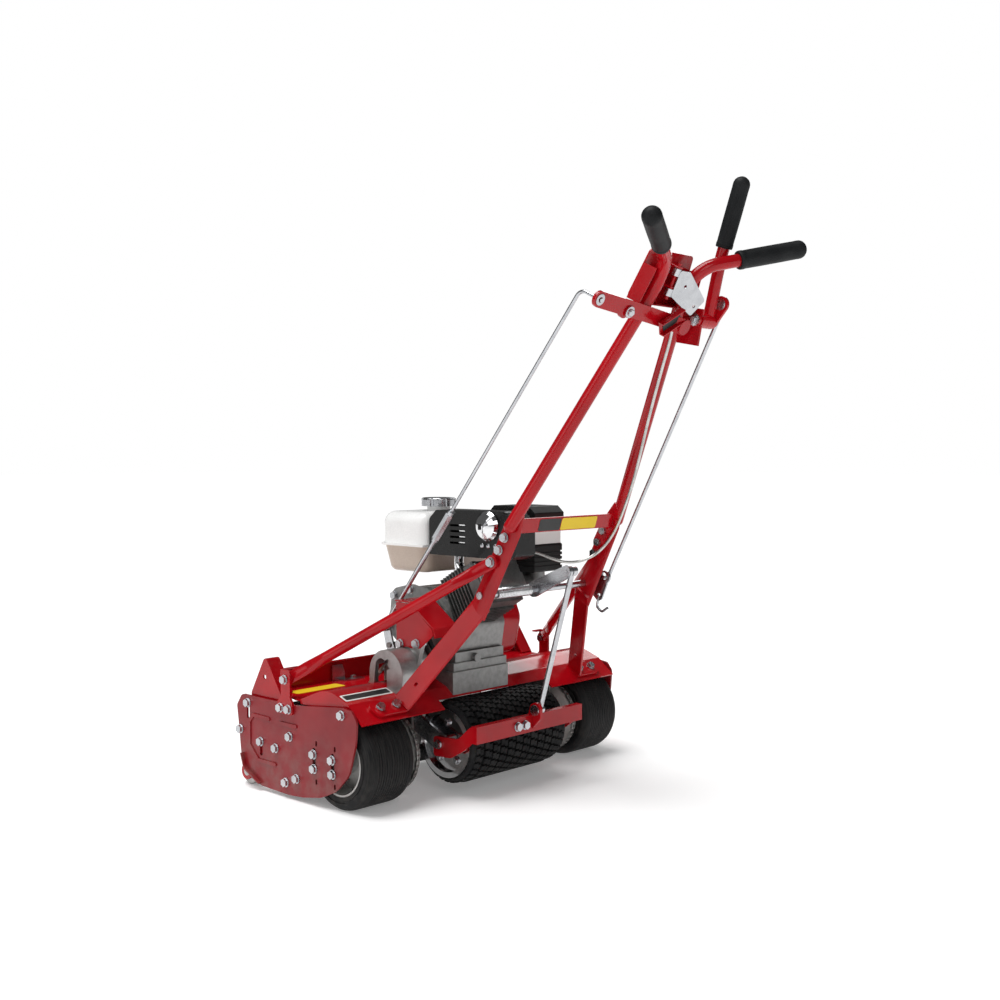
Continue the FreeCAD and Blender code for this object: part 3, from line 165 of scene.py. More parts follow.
def enamel(name, colour, deep, dust=0.12, gloss=0.12):
    """Sprayed enamel: faint orange peel, patchy depth of colour, dust low down, rubbed specks."""
    s = Shader(name)
    patch = s.ramp(s.noise(9, 3), 0.35, 0.7)
    tone = s.mix(patch, colour, deep)
    speck = s.ramp(s.noise(420, 2, 0.7), 0.70, 0.76)
    tone = s.mix(s.times(speck, 0.16), tone, (0.20, 0.10, 0.09))
    low = s.ramp(s.height(), 0.02, 0.16, 1.0, 0.0)
    film = s.times(s.times(low, s.ramp(s.noise(38, 5), 0.35, 0.7)), dust)
    tone = s.mix(film, tone, (0.20, 0.15, 0.13))
    rough = s.ramp(s.noise(60, 5), 0.3, 0.75, gloss, gloss + 0.14)
    peel_map = s.bump(s.noise(700, 2), 0.00008, 0.6)
    return s.finish(tone, rough, peel_map, coat_weight=0.12, coat_roughness=0.06, specular_ior_level=0.28)


def plated(name, colour, dull, rough=(0.18, 0.38), bump=0.00005, tarnish=(0.35, 0.31, 0.26)):
    """Plated or bare steel: fine grain, uneven polish and a little tarnish."""
    s = Shader(name)
    grain = s.noise(900, 3, 0.6)
    tone = s.mix(s.ramp(s.noise(45, 4), 0.3, 0.7), colour, dull)
    tone = s.mix(s.times(s.ramp(s.noise(120, 6, 0.7), 0.60, 0.76), 0.22), tone, tarnish)
    roughness = s.ramp(grain, 0.25, 0.75, *rough)
    return s.finish(tone, roughness, s.bump(grain, bump, 0.7), metallic=1.0)


def casting(name, colour, dark, bump=0.00035, rough=(0.36, 0.58)):
    """Sand or die casting: fine grain, broader hollows and grime."""
    s = Shader(name)
    grain, broad = s.noise(1100, 3, 0.7), s.noise(90, 4)
    tone = s.mix(s.ramp(broad, 0.2, 0.9), colour, dark)
    tone = s.mix(s.times(s.ramp(s.noise(160, 6, 0.7), 0.56, 0.78), 0.28), tone, (0.08, 0.075, 0.07))
    first = s.bump(broad, bump * 2, 0.4)
    return s.finish(tone, s.ramp(grain, 0.3, 0.7, *rough), s.bump(grain, bump, 0.6, first), metallic=0.85)


def rubber(name, colour=(0.006, 0.006, 0.007), worn=(0.018, 0.018, 0.018), rough=(0.55, 0.8), scale=500,
           bump=0.0003, dust=0.35):
    """Vulcanised rubber: fine grain, greyed wear and dust near the ground."""
    s = Shader(name)
    grain = s.noise(scale, 4, 0.65)
    tone = s.mix(s.ramp(s.noise(30, 5), 0.35, 0.7), colour, worn)
    low = s.ramp(s.height(), 0.0, 0.12, 1.0, 0.15)
    film = s.times(s.times(low, s.ramp(s.noise(75, 6, 0.7), 0.5, 0.75)), dust)
    tone = s.mix(film, tone, (0.11, 0.095, 0.08))
    return s.finish(tone, s.ramp(grain, 0.3, 0.7, *rough), s.bump(grain, bump, 0.6), specular_ior_level=0.2)


def drawn_rubber(name):
    """Smooth tread that is scored round and round: streaks run along the circumference."""
    s = Shader(name)
    streak = s.noise(70, 5, 0.7, s.stretched((9, 0.35, 0.35)))
    tone = s.mix(s.ramp(streak, 0.38, 0.66), (0.005, 0.005, 0.006), (0.024, 0.023, 0.022))
    low = s.ramp(s.height(), 0.0, 0.1, 0.25, 0.02)
    tone = s.mix(s.times(low, s.ramp(s.noise(60, 6), 0.45, 0.7)), tone, (0.10, 0.09, 0.08))
    return s.finish(tone, s.ramp(streak, 0.3, 0.7, 0.5, 0.75), s.bump(streak, 0.0009, 0.7),
                    specular_ior_level=0.2)


def two_tone(name, low, high, level, rough=(0.2, 0.34)):
    """Two finishes that meet at a level: below it the low colour, above it the high one."""
    s = Shader(name)
    above = s.ramp(s.height(), level - 0.0004, level + 0.0004)
    mottled = s.mix(s.ramp(s.noise(14, 4), 0.3, 0.75), (1.0, 1.0, 1.0), (0.93, 0.93, 0.93))
    tone = s.mix(above, low, high)
    shade = s.tree.nodes.new("ShaderNodeMix")
    shade.data_type, shade.blend_type = "RGBA", "MULTIPLY"
    shade.inputs[0].default_value = 1.0
    s.link(tone, shade.inputs[6])
    s.link(mottled, shade.inputs[7])
    grain = s.noise(600, 3)
    return s.finish(shade.outputs[2], s.ramp(grain, 0.3, 0.7, *rough), s.bump(grain, 0.00008, 0.5))


def plastic(name, colour, pale, rough=(0.42, 0.6)):
    """Moulded plastic or printed film: fine grain and slightly uneven tone."""
    s = Shader(name)
    grain = s.noise(900, 3)
    tone = s.mix(s.ramp(s.noise(22, 5), 0.35, 0.75), colour, pale)
    return s.finish(tone, s.ramp(grain, 0.3, 0.7, *rough), s.bump(grain, 0.0001, 0.6), specular_ior_level=0.3)


RED = enamel("red_enamel", (0.45, 0.003, 0.008), (0.34, 0.002, 0.006))
# Side plates: the same red enamel painted darker as painted shade, with a heavier dust film low down and a
# rougher coat.
RED_SHADED_DUSTY = enamel("red_enamel_dusty_painted_shade", (0.27, 0.009, 0.014), (0.20, 0.006, 0.010), dust=0.35, gloss=0.30)
BLACK_SATIN = enamel("black_satin", (0.003, 0.003, 0.003), (0.006, 0.006, 0.006), dust=0.0, gloss=0.24)
ZINC = plated("zinc_plate", (0.56, 0.57, 0.59), (0.46, 0.47, 0.49), (0.16, 0.32))
STEEL = plated("oiled_steel", (0.50, 0.49, 0.48), (0.30, 0.29, 0.28), (0.25, 0.5), tarnish=(0.20, 0.13, 0.08))
CHROME = plated("chrome_plate", (0.80, 0.80, 0.81), (0.72, 0.72, 0.73), (0.05, 0.14), bump=0.00001)
SPRING_STEEL = plated("spring_zinc", (0.78, 0.79, 0.80), (0.62, 0.63, 0.64), (0.16, 0.3))
ALLOY = casting("cast_alloy", (0.33, 0.33, 0.325), (0.22, 0.22, 0.217))
ALLOY_BRIGHT = casting("bright_alloy", (0.48, 0.48, 0.475), (0.36, 0.36, 0.355), bump=0.0002,
                       rough=(0.25, 0.45))
FIN_ALLOY = casting("finned_alloy", (0.20, 0.20, 0.195), (0.10, 0.10, 0.098))
IRON = casting("cast_iron", (0.16, 0.155, 0.15), (0.10, 0.10, 0.095))
RIM_PAINT = enamel("rim_enamel", (0.66, 0.66, 0.64), (0.54, 0.54, 0.52), dust=0.4, gloss=0.3)
TREAD = drawn_rubber("drive_tyre_rubber")
TURF = rubber("turf_tyre_rubber")
GRIP = rubber("grip_rubber", (0.006, 0.007, 0.008), (0.013, 0.014, 0.015), (0.46, 0.66), 1400,
              0.00018, dust=0.0)
BELT = rubber("belt_rubber", (0.014, 0.014, 0.014), (0.03, 0.03, 0.03), scale=900)
SHEATH = plated("cable_sheath", (0.62, 0.62, 0.60), (0.44, 0.44, 0.42), (0.22, 0.4))
BLACK_PLASTIC = plastic("black_plastic", (0.004, 0.004, 0.004), (0.009, 0.009, 0.009))
TANK_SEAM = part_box("fuel_tank")[0].z + 0.049
LID_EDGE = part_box("air_cleaner_cover")[0].z + 0.0257
TANK_PAINT = two_tone("tank_enamel", (0.62, 0.52, 0.43), (0.95, 0.95, 0.94), TANK_SEAM)
CLEANER = two_tone("air_cleaner_plastic", (0.80, 0.80, 0.78), (0.004, 0.004, 0.004), LID_EDGE,
                   (0.32, 0.5))
YELLOW = plastic("yellow_sticker", (0.85, 0.60, 0.02), (0.80, 0.55, 0.02), (0.3, 0.45))
PAPER = plastic("white_sticker", (0.80, 0.80, 0.78), (0.72, 0.72, 0.70), (0.3, 0.45))
INK = plastic("black_sticker", (0.02, 0.02, 0.02), (0.03, 0.03, 0.03), (0.3, 0.45))


def paint(material, *names):
    """Give carried-over nodes their procedural material."""
    for name in names:
        mesh = NODES[name].data
        mesh.materials.clear()
        mesh.materials.append(material)


paint(RED, "deck", "front_guard", "catcher_hooks", "strut_brackets", "handle_feet", "handle_tubes", "struts",
      "crossbar", "handle_head", "yoke", "belt_guard", "fan_cover", "reel_lever", "drive_lever",
      "roller_brackets")
paint(RED_SHADED_DUSTY, "side_plate_left", "side_plate_right")
paint(BLACK_SATIN, "muffler_guard", "bedknife")
paint(ZINC, "bolts", "yoke_bolts", "fuel_cap", "cross_shaft", "lift_rod", "drive_rod", "reel_rod",
      "throttle_lever", "clutch_arm", "swing_arms")
paint(STEEL, "reel", "counter_shaft", "output_shaft", "engine_pulley", "idler_pulley", "front_roller")
paint(CHROME, "muffler")
paint(ALLOY, "crankcase", "side_cover", "engine_bed", "carburettor")
paint(FIN_ALLOY, "cylinder")
paint(ALLOY_BRIGHT, "head_cover", "chain_case")
paint(IRON, "axle_bearings")
paint(RIM_PAINT, "wheel_hub_left", "wheel_hub_right")
paint(CHROME, "centre_hub")
paint(TANK_PAINT, "fuel_tank")
paint(CLEANER, "air_cleaner_cover")
paint(BLACK_PLASTIC, "air_cleaner_base", "recoil_handle")


# ---------------------------------------------------------------- making pieces
def piece(name, bm, material, body, replaces=(), smooth=40, bevel=0.0):
    """Turn a bmesh into a finished piece that rides on a body."""
    mesh = bpy.data.meshes.new(name)
    bmesh.ops.recalc_face_normals(bm, faces=bm.faces)
    bm.to_mesh(mesh)
    bm.free()
    mesh.materials.append(material)
    item = bpy.data.objects.new(name, mesh)
    bpy.context.scene.collection.objects.link(item)
    mesh.set_sharp_from_angle(angle=math.radians(smooth))
    for polygon in mesh.polygons:
        polygon.use_smooth = True
    if bevel:
        edge = item.modifiers.new("edge", "BEVEL")
        edge.width = bevel
        edge.segments = 2
        edge.limit_method = "ANGLE"
        edge.angle_limit = math.radians(35)
    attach(item, body)
    if replaces:
        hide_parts(*replaces)


def add_lathe(bm, profile, centre, x0, steps):
    """Revolve a closed outline of (x, radius) points round the X axis through centre."""
    rows = []
    for k in range(steps):
        a = 2 * math.pi * k / steps
        rows.append([bm.verts.new((x0 + x, centre.y + r * math.cos(a), centre.z + r * math.sin(a)))
                     for x, r in profile])
    count = len(profile)
    for k in range(steps):
        a, b = rows[k], rows[(k + 1) % steps]
        for i in range(count):
            j = (i + 1) % count
            bm.faces.new((a[i], a[j], b[j], b[i]))


def add_prism(bm, points, along):
    """Extrude a flat outline by a vector."""
    low = [bm.verts.new(p) for p in points]
    high = [bm.verts.new(Vector(p) + along) for p in points]
    bm.faces.new(low)
    bm.faces.new(high[::-1])
    for i in range(len(points)):
        j = (i + 1) % len(points)
        bm.faces.new((low[i], high[i], high[j], low[j]))


def add_rod(bm, start, end, radius, sides):
    """Straight bar between two points."""
    start, end = Vector(start), Vector(end)
    axis = (end - start).normalized()
    side = axis.orthogonal().normalized()
    other = axis.cross(side)
    rings = []
    for centre in (start, end):
        rings.append([bm.verts.new(centre + (side * math.cos(a) + other * math.sin(a)) * radius)
                      for a in (2 * math.pi * k / sides for k in range(sides))])
    for k in range(sides):
        j = (k + 1) % sides
        bm.faces.new((rings[0][k], rings[0][j], rings[1][j], rings[1][k]))
    bm.faces.new(rings[0][::-1])
    bm.faces.new(rings[1])


def add_turned(bm, origin, axis, profile, steps=32):
    """Revolve (distance, radius) points round an axis; the ends close on it when their radius is 0."""
    axis = Vector(axis).normalized()
    side = axis.orthogonal().normalized()
    other = axis.cross(side)
    rows = []
    for d, r in profile:
        centre = Vector(origin) + axis * d
        if r == 0:
            rows.append([bm.verts.new(centre)] * steps)
        else:
            rows.append([bm.verts.new(centre + (side * math.cos(a) + other * math.sin(a)) * r)
                         for a in (2 * math.pi * k / steps for k in range(steps))])
    for low, high in zip(rows, rows[1:]):
        for k in range(steps):
            j = (k + 1) % steps
            corners = [low[k], low[j], high[j], high[k]]
            corners = [v for i, v in enumerate(corners) if v not in corners[:i]]
            if len(corners) > 2:
                bm.faces.new(corners)


def wire(name, points, radius, material, body, replaces, resolution=10):
    """A round wire or cable along a smooth line."""
    curve = bpy.data.curves.new(name, "CURVE")
    curve.dimensions = "3D"
    spline = curve.splines.new("NURBS")
    spline.points.add(len(points) - 1)
    for point, co in zip(spline.points, points):
        point.co = (*co, 1)
    spline.order_u = 3
    spline.use_endpoint_u = True
    curve.bevel_depth = radius
    curve.bevel_resolution = 5
    curve.resolution_u = resolution
    curve.use_fill_caps = True
    curve.materials.append(material)
    item = bpy.data.objects.new(name, curve)
    bpy.context.scene.collection.objects.link(item)
    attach(item, body)
    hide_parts(*replaces)


# ---------------------------------------------------------------- tyres
def drive_tyre(side):
    """Wide tyre with a plain tread that is scored by fine rings, and stepped sidewalls."""
    node = f"tyre_{side}"
    low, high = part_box(node)
    radius = (high.z - low.z) / 2
    width = high[0] - low[0]
    bore = 0.059
    half = [(0.0, bore), (0.0, 0.066), (0.0012, 0.0665), (0.0012, 0.069), (0.0, 0.0695), (0.0, 0.0735),
            (0.0014, 0.0765), (0.004, 0.0798), (0.008, 0.0824), (0.013, 0.0837)]
    tread = []
    start, stop, pitch = 0.016, width - 0.016, 0.0055
    count = int((stop - start) / pitch)
    step = (stop - start) / count
    for k in range(count):
        x = start + k * step
        tread += [(x, radius), (x + step - 0.0013, radius), (x + step - 0.0009, radius - 0.0008),
                  (x + step - 0.0003, radius - 0.0008)]
    other = [(width - x, r) for x, r in half[::-1]]
    bm = bmesh.new()
    add_lathe(bm, half + tread + [(stop, radius)] + other, WHEEL, low[0], steps=120)
    piece(node + "_ribbed", bm, TREAD, f"wheel_{side}", [node], smooth=50)


for side in ("left", "right"):
    drive_tyre(side)


def turf_tyre():
    """Centre tyre: carcass and rows of staggered, stepped turf blocks."""
    low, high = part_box("centre_tyre")
    centre = joint_at("centre_wheel_spin")
    width = high[0] - low[0]
    outer = (high[2] - low[2]) / 2
    floor = outer - 0.0062
    wall = [(0, 0.060), (0, 0.0655), (0.002, 0.0685), (0.006, 0.0698), (0.012, floor)]
    profile = wall + [(width - x, r) for x, r in wall[::-1]]
    bm = bmesh.new()
    add_lathe(bm, profile, centre, low[0], steps=96)
    columns, around = 12, 32
    pitch = (width - 0.010) / columns
    turn = 2 * math.pi / around

    def block(x0, x1, a0, a1, top):
        def at(x, a, r):
            return (low[0] + x, centre.y + r * math.cos(a), centre.z + r * math.sin(a))
        inset, bite = 0.0007, 0.011
        bottom = [at(x, a, floor - 0.0012) for x, a in ((x0, a0), (x1, a0), (x1, a1), (x0, a1))]
        cap = [at(x, a, top) for x, a in ((x0 + inset, a0 + bite), (x1 - inset, a0 + bite),
                                          (x1 - inset, a1 - bite), (x0 + inset, a1 - bite))]
        a, b = [bm.verts.new(p) for p in bottom], [bm.verts.new(p) for p in cap]
        bm.faces.new(b)
        for i in range(4):
            j = (i + 1) % 4
            bm.faces.new((a[i], a[j], b[j], b[i]))

    for column in range(columns):
        x0 = 0.005 + column * pitch
        for row in range(around):
            a0 = (row + 0.5 * (column % 2)) * turn
            edge = column in (0, columns - 1)
            top = outer - (0.0022 if edge else 0.0)
            block(x0 + 0.0008, x0 + pitch * 0.56, a0, a0 + turn * 0.80, top)
            block(x0 + pitch * 0.52, x0 + pitch * 0.93, a0 + turn * 0.22, a0 + turn * 1.00, top)
    piece("centre_tyre_turf", bm, TURF, "centre_wheel", ["centre_tyre"], smooth=30)


turf_tyre()


# ---------------------------------------------------------------- chains
def loop_points(c1, r1, c2, r2, pitch):
    """Points at an even pitch on the closed loop round two sprockets or pulleys."""
    c1, c2 = Vector(c1), Vector(c2)
    gap = c2 - c1
    length = gap.length
    base = math.atan2(gap.y, gap.x)
    lean = math.asin((r1 - r2) / length)
    run = math.sqrt(length ** 2 - (r1 - r2) ** 2)
    a_out, a_in = base + math.pi / 2 - lean, base - math.pi / 2 + lean
    wrap2, wrap1 = (math.pi - 2 * lean) * r2, (math.pi + 2 * lean) * r1
    total = 2 * run + wrap1 + wrap2
    count = round(total / pitch)
    made = []

    def on(c, r, a):
        return Vector((c.x + r * math.cos(a), c.y + r * math.sin(a)))
    for k in range(count):
        s = total * k / count
        if s < run:
            p, q = on(c1, r1, a_out), on(c2, r2, a_out)
            made.append(p.lerp(q, s / run))
        elif s < run + wrap2:
            made.append(on(c2, r2, a_out - (s - run) / r2))
        elif s < 2 * run + wrap2:
            p, q = on(c2, r2, a_in), on(c1, r1, a_in)
            made.append(p.lerp(q, (s - run - wrap2) / run))
        else:
            made.append(on(c1, r1, a_in - (s - 2 * run - wrap2) / r1))
    return made


CHAIN_PITCH = 0.0127 * 0.75               # three eighths of an inch
PIN_HALF, ROLLER = 0.0032, 0.0019
OUTER_PLATE, INNER_PLATE, PLATE_THICK, PLATE_END = 0.0031, 0.0023, 0.0006, 0.0028
# Radii of the chains round their sprockets.
COUNTER_RADIUS, WHEEL_RADIUS, OUTPUT_RADIUS, REEL_RADIUS = 0.0150 + 0.0015, 0.0660 + 0.0012, 0.0175, 0.0315


def add_chain(bm, c1, r1, c2, r2, x_mid):
    """Roller chain: rollers on pins, joined by inner and outer figure-of-eight plates."""
    points = loop_points(c1, r1, c2, r2, CHAIN_PITCH)
    count = len(points) - len(points) % 2
    for k in range(count):
        p, q = points[k], points[(k + 1) % len(points)]
        add_rod(bm, (x_mid - PIN_HALF, p.x, p.y), (x_mid + PIN_HALF, p.x, p.y), ROLLER, 8)
        outer = k % 2 == 0
        for sign in (-1, 1):
            x = x_mid + sign * (OUTER_PLATE if outer else INNER_PLATE)
            along = (q - p).normalized()
            across = Vector((-along.y, along.x))
            outline = []
            for end, way in ((p, -1), (q, 1)):
                for a in (-60, -20, 20, 60):
                    a = math.radians(a * way)
                    d = along * math.cos(a) * way + across * math.sin(a)
                    outline.append(end + d * PLATE_END)
            centre = (p + q) / 2
            outline.sort(key=lambda v: math.atan2((v - centre).dot(across), (v - centre).dot(along)))
            add_prism(bm, [(x, v.x, v.y) for v in outline], Vector((PLATE_THICK * sign, 0, 0)))


def yz(joint):
    at = joint_at(joint)
    return at.y, at.z


def chains():
    """The two wheel chains, the chain from the output shaft and the reel chain, each at its own X."""
    bm = bmesh.new()
    counter, wheel = yz("countershaft_spin"), yz("wheel_left_spin")
    for x in (-0.2085, 0.2085):
        add_chain(bm, counter, COUNTER_RADIUS, wheel, WHEEL_RADIUS, x)
    add_chain(bm, yz("output_shaft_spin"), OUTPUT_RADIUS, counter, COUNTER_RADIUS, -0.1955)
    add_chain(bm, counter, COUNTER_RADIUS, yz("reel_spin"), REEL_RADIUS, -0.3180)
    piece("roller_chains", bm, STEEL, "chassis", ["chains"], smooth=30)


chains()


# ---------------------------------------------------------------- springs, belt and cable
def torsion_spring():
    """Close-wound torsion spring round the cross shaft."""
    low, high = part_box("torsion_spring")
    axis = joint_at("cross_shaft_turn")
    radius, gauge, gap, margin, per_turn = 0.0088, 0.0016, 0.0006, 0.004, 12
    reach = high[0] - low[0] - 2 * margin
    turns = int(reach / (2 * gauge + gap))
    points = []
    for k in range(turns * per_turn + 1):
        a = 2 * math.pi * k / per_turn
        x = low[0] + margin + reach * k / (turns * per_turn)
        points.append(Vector((x, axis.y + radius * math.cos(a), axis.z + radius * math.sin(a))))
    wire("torsion_spring_wire", points, gauge, SPRING_STEEL, "chassis", ["torsion_spring"],
         resolution=3)


torsion_spring()

CABLE_ROUTE = [(26, -389, 840), (33, -372, 796), (44, -348, 752), (58, -322, 706), (72, -296, 657),
               (86, -271, 606), (97, -247, 555), (99, -225, 506), (98, -204, 463), (88, -180, 430),
               (68, -158, 413), (40, -141, 411), (12, -130, 419), (-8, -124, 428), (-24, -120.8, 432.2)]
wire("throttle_cable_sheath", [P(*p) for p in CABLE_ROUTE], 0.0025, SHEATH, "chassis",
     ["throttle_cable"])

CRANK_LINE, OUTPUT_LINE = 0.0349, 0.0269  # radii of the belt's middle on its pulleys
STATION, NOTCH, BELT_HALF = 0.004, 0.0008, 0.0032


def v_belt():
    """Notched belt from the engine's pulley to the output shaft."""
    bm = bmesh.new()
    low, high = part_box("drive_belt")
    crank, output = yz("engine_pulley_spin"), yz("output_shaft_spin")
    centres = loop_points(crank, CRANK_LINE, output, OUTPUT_LINE, STATION)
    middle = (low[0] + high[0]) / 2
    rows = []
    count = len(centres)
    for k, p in enumerate(centres):
        along = (centres[(k + 1) % count] - centres[k - 1]).normalized()
        out = Vector((-along.y, along.x))
        inner = -BELT_HALF + (NOTCH if k % 2 else 0.0)
        section = ((-0.0038, BELT_HALF), (0.0038, BELT_HALF), (0.0026, inner), (-0.0026, inner))
        rows.append([bm.verts.new((middle + x, p.x + out.x * d, p.y + out.y * d)) for x, d in section])
    for k in range(count):
        a, b = rows[k], rows[(k + 1) % count]
        for i in range(4):
            j = (i + 1) % 4
            bm.faces.new((a[i], a[j], b[j], b[i]))
    piece("v_belt", bm, BELT, "chassis", ["drive_belt"], smooth=35)


v_belt()


# ---------------------------------------------------------------- grips
GRIP_TIP, HANDLE_BEND = Vector((-200.3, -505.9, 946.1)), Vector((-30.8, -412.4, 906.0))


def grips():
    """The two handle grips, along the bent-out ends of the handle tubes."""
    outward = (GRIP_TIP - HANDLE_BEND).normalized()
    start = GRIP_TIP - outward * 110
    for side, name in ((1, "grip_left"), (-1, "grip_right")):
        flip = Vector((side, 1, 1))
        grip(name, P(*(start * flip)), outward * flip, 0.128, 0.0158, "chassis", ["handle_grips"])


# The domed end of a grip: distance back from its tip, share of its radius.
DOME = [(0.0155, 0.98), (0.011, 0.96), (0.007, 0.86), (0.0035, 0.66), (0.001, 0.36), (0.0, 0.12),
        (0.0006, 0.0)]


def grip(name, origin, axis, length, radius, body, replaced):
    """Moulded rubber grip with a collar at its open end and a domed tip."""
    profile = [(0.0, 0.0112), (0.0, radius * 0.93), (0.0012, radius * 0.98), (0.004, radius),
               (0.0075, radius), (0.0085, radius * 0.965)]
    steps = 26
    for k in range(1, steps):
        d = 0.0085 + (length - 0.026) * k / steps
        swell = 1 + 0.018 * math.sin(math.pi * k / steps)
        profile.append((d, radius * 0.965 * swell))
    profile += [(length - back, radius * share) for back, share in DOME]
    bm = bmesh.new()
    add_turned(bm, origin, axis, profile, 40)
    piece(name, bm, GRIP, body, replaced, smooth=50)


grips()
lever_low, lever_tip = P(110, -418, 932), P(108, -458, 1046)
lever_axis = (lever_tip - lever_low).normalized()
grip("grip_lever", lever_tip - lever_axis * 0.104, lever_axis, 0.104 + 0.0143, 0.0144, "drive_lever",
     ["lever_grip"])


# ---------------------------------------------------------------- stickers and small fittings
def sticker(name, centre, right, up, width, height, material, body="chassis", thick=0.0004):
    """Plain rounded sticker; it faces along right x up."""
    right, up = Vector(right).normalized(), Vector(up).normalized()
    corner, steps = min(width, height) * 0.14, 5
    outline = []
    for sx, sy, start in ((1, 1, 0), (-1, 1, 90), (-1, -1, 180), (1, -1, 270)):
        middle = centre + right * sx * (width / 2 - corner) + up * sy * (height / 2 - corner)
        for k in range(steps + 1):
            a = math.radians(start + 90 * k / steps)
            outline.append(middle + (right * math.cos(a) + up * math.sin(a)) * corner)
    bm = bmesh.new()
    add_prism(bm, outline, right.cross(up) * thick)
    piece(name, bm, material, body, smooth=30)


def hex_bolt(bm, seat, outward, across, washer):
    """Chamfered hexagon head on a washer: across is the radius to its corners, washer the washer's radius."""
    outward = Vector(outward).normalized()
    seat = Vector(seat)
    add_turned(bm, seat, outward, [(0, washer), (0.0011, washer), (0.0014, washer * 0.9), (0.0014, 0)], 28)
    side = outward.orthogonal().normalized()
    other = outward.cross(side)
    rings = []
    for depth, r in ((0.0014, across), (0.0048, across), (0.0058, across * 0.84)):
        rings.append([bm.verts.new(seat + outward * depth + (side * math.cos(a) + other * math.sin(a)) * r)
                      for a in (math.pi * k / 3 for k in range(6))])
    for low, high in zip(rings, rings[1:]):
        for k in range(6):
            j = (k + 1) % 6
            bm.faces.new((low[k], low[j], high[j], high[k]))
    bm.faces.new(rings[-1])


ACROSS = Vector((1, 0, 0))
BAR_UP = Vector((0, -0.301, 0.954))
BAR_BACK = P(0, -177, 485) + ACROSS.cross(BAR_UP) * 0.0021
for name, x, width, material in (("bar_sticker_dark", -48, 56, INK), ("bar_sticker_yellow", 30, 96, YELLOW)):
    sticker(name, BAR_BACK + ACROSS * (x / 1000), ACROSS, BAR_UP, width / 1000, 0.0215, material)

DECK_UP = Vector((0, 55, 20)).normalized()
DECK_TOP = P(-276, 38, 187 + 18 * 20 / 55 + 0.15)
sticker("deck_sticker_white", DECK_TOP, ACROSS, DECK_UP, 0.106, 0.020, PAPER)
sticker("deck_sticker_black", DECK_TOP + ACROSS.cross(DECK_UP) * 0.0004, ACROSS, DECK_UP, 0.099, 0.0135, INK)
sticker("deck_sticker_yellow", P(-250, 206, 178.15), ACROSS, (0, 1, 0), 0.110, 0.030, YELLOW)

HEAD_UP, HEAD_REAR = Vector((0, -0.449, 0.894)), Vector((0, -0.894, -0.449))
REEL_PIVOT = P(-101.6, -386.1, 829.5)
thumb = REEL_PIVOT + ACROSS * 0.098 + HEAD_REAR * 0.0163 - HEAD_UP * 0.003
thumb_along = Vector((0.043, 0, 0)) + HEAD_UP * 0.030
sticker("thumb_sticker", thumb, thumb_along, HEAD_REAR.cross(thumb_along), 0.040, 0.016, INK, "reel_lever",
        thick=0.0009)


def guard_fittings():
    """A dark patch of painted shade for the outlet slit in the silencer's dome, and the three screws that
    hold the guard.
    """
    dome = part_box("muffler")[0][0]
    bm = bmesh.new()
    # Painted shade: a thin black plate on the dome's face, standing for the dark inside of the slit.
    corners = ((-61, 473), (-61, 483), (-67, 483), (-67, 473))
    add_prism(bm, [(dome - 0.0002, *P(0, y, z).yz) for y, z in corners], Vector((0.0008, 0, 0)))
    piece("outlet_slit_painted_shade", bm, BLACK_PLASTIC, "chassis", bevel=0.0002)
    bm = bmesh.new()
    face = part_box("muffler_guard")[0][0]
    head = [(0, 0.0042), (0.0012, 0.0042), (0.0022, 0.003), (0.0022, 0)]
    for y in (-58, -73, -90):
        at = P(0, y, 444.5)
        add_turned(bm, (face, at.y, at.z), (-1, 0, 0), head, 20)
    piece("guard_screws", bm, ZINC, "chassis", smooth=45)


guard_fittings()


BOLT_CIRCLE = 0.036                       # its radius on the centre wheel's discs
SMALL_HEAD, SMALL_WASHER = 0.0055, 0.0075


def hub_bolts():
    """Five bolts on each pressed disc of the centre wheel."""
    bm = bmesh.new()
    axis = joint_at("centre_wheel_spin")
    low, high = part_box("centre_hub")
    dish = 0.009
    for x, way in ((low[0] + dish, -1), (high[0] - dish, 1)):
        for k in range(5):
            a = 2 * math.pi * k / 5 + 0.3
            seat = (x, axis.y + BOLT_CIRCLE * math.cos(a), axis.z + BOLT_CIRCLE * math.sin(a))
            hex_bolt(bm, seat, (way, 0, 0), SMALL_HEAD, SMALL_WASHER)
    piece("centre_hub_bolts", bm, ZINC, "centre_wheel", smooth=30)


hub_bolts()


ROD_EYE = REEL_PIVOT - ACROSS * 0.078 + HEAD_UP * 0.0126
LEVER_PIN, LEVER_EYE = P(0, -393, 829), P(0, -414, 856)


def washer(bm, seat, outward, bore, radius):
    """Flat washer with a rounded-off rim."""
    add_turned(bm, seat, outward, [(0, bore), (0, radius), (0.0011, radius), (0.0014, radius * 0.93),
                                   (0.0014, bore), (0, bore)], 36)


def lever_hardware():
    """Zinc bolts at the lever pivots, and the washers under the rod ends."""
    bm = bmesh.new()
    hex_bolt(bm, REEL_PIVOT + HEAD_REAR * 0.00505, HEAD_REAR, 0.0062, 0.0095)
    hex_bolt(bm, LEVER_PIN + ACROSS * 0.06995, -ACROSS, 0.0062, 0.0105)
    piece("lever_pivot_bolts", bm, ZINC, "chassis", smooth=30)
    bm = bmesh.new()
    washer(bm, ROD_EYE + HEAD_REAR * 0.0026, HEAD_REAR, 0.0046, 0.0092)
    piece("reel_rod_washer", bm, ZINC, "reel_lever", smooth=30)
    bm = bmesh.new()
    washer(bm, LEVER_EYE + ACROSS * 0.1159, -ACROSS, 0.0038, 0.0095)
    piece("drive_rod_washer", bm, ZINC, "drive_lever", smooth=30)


lever_hardware()


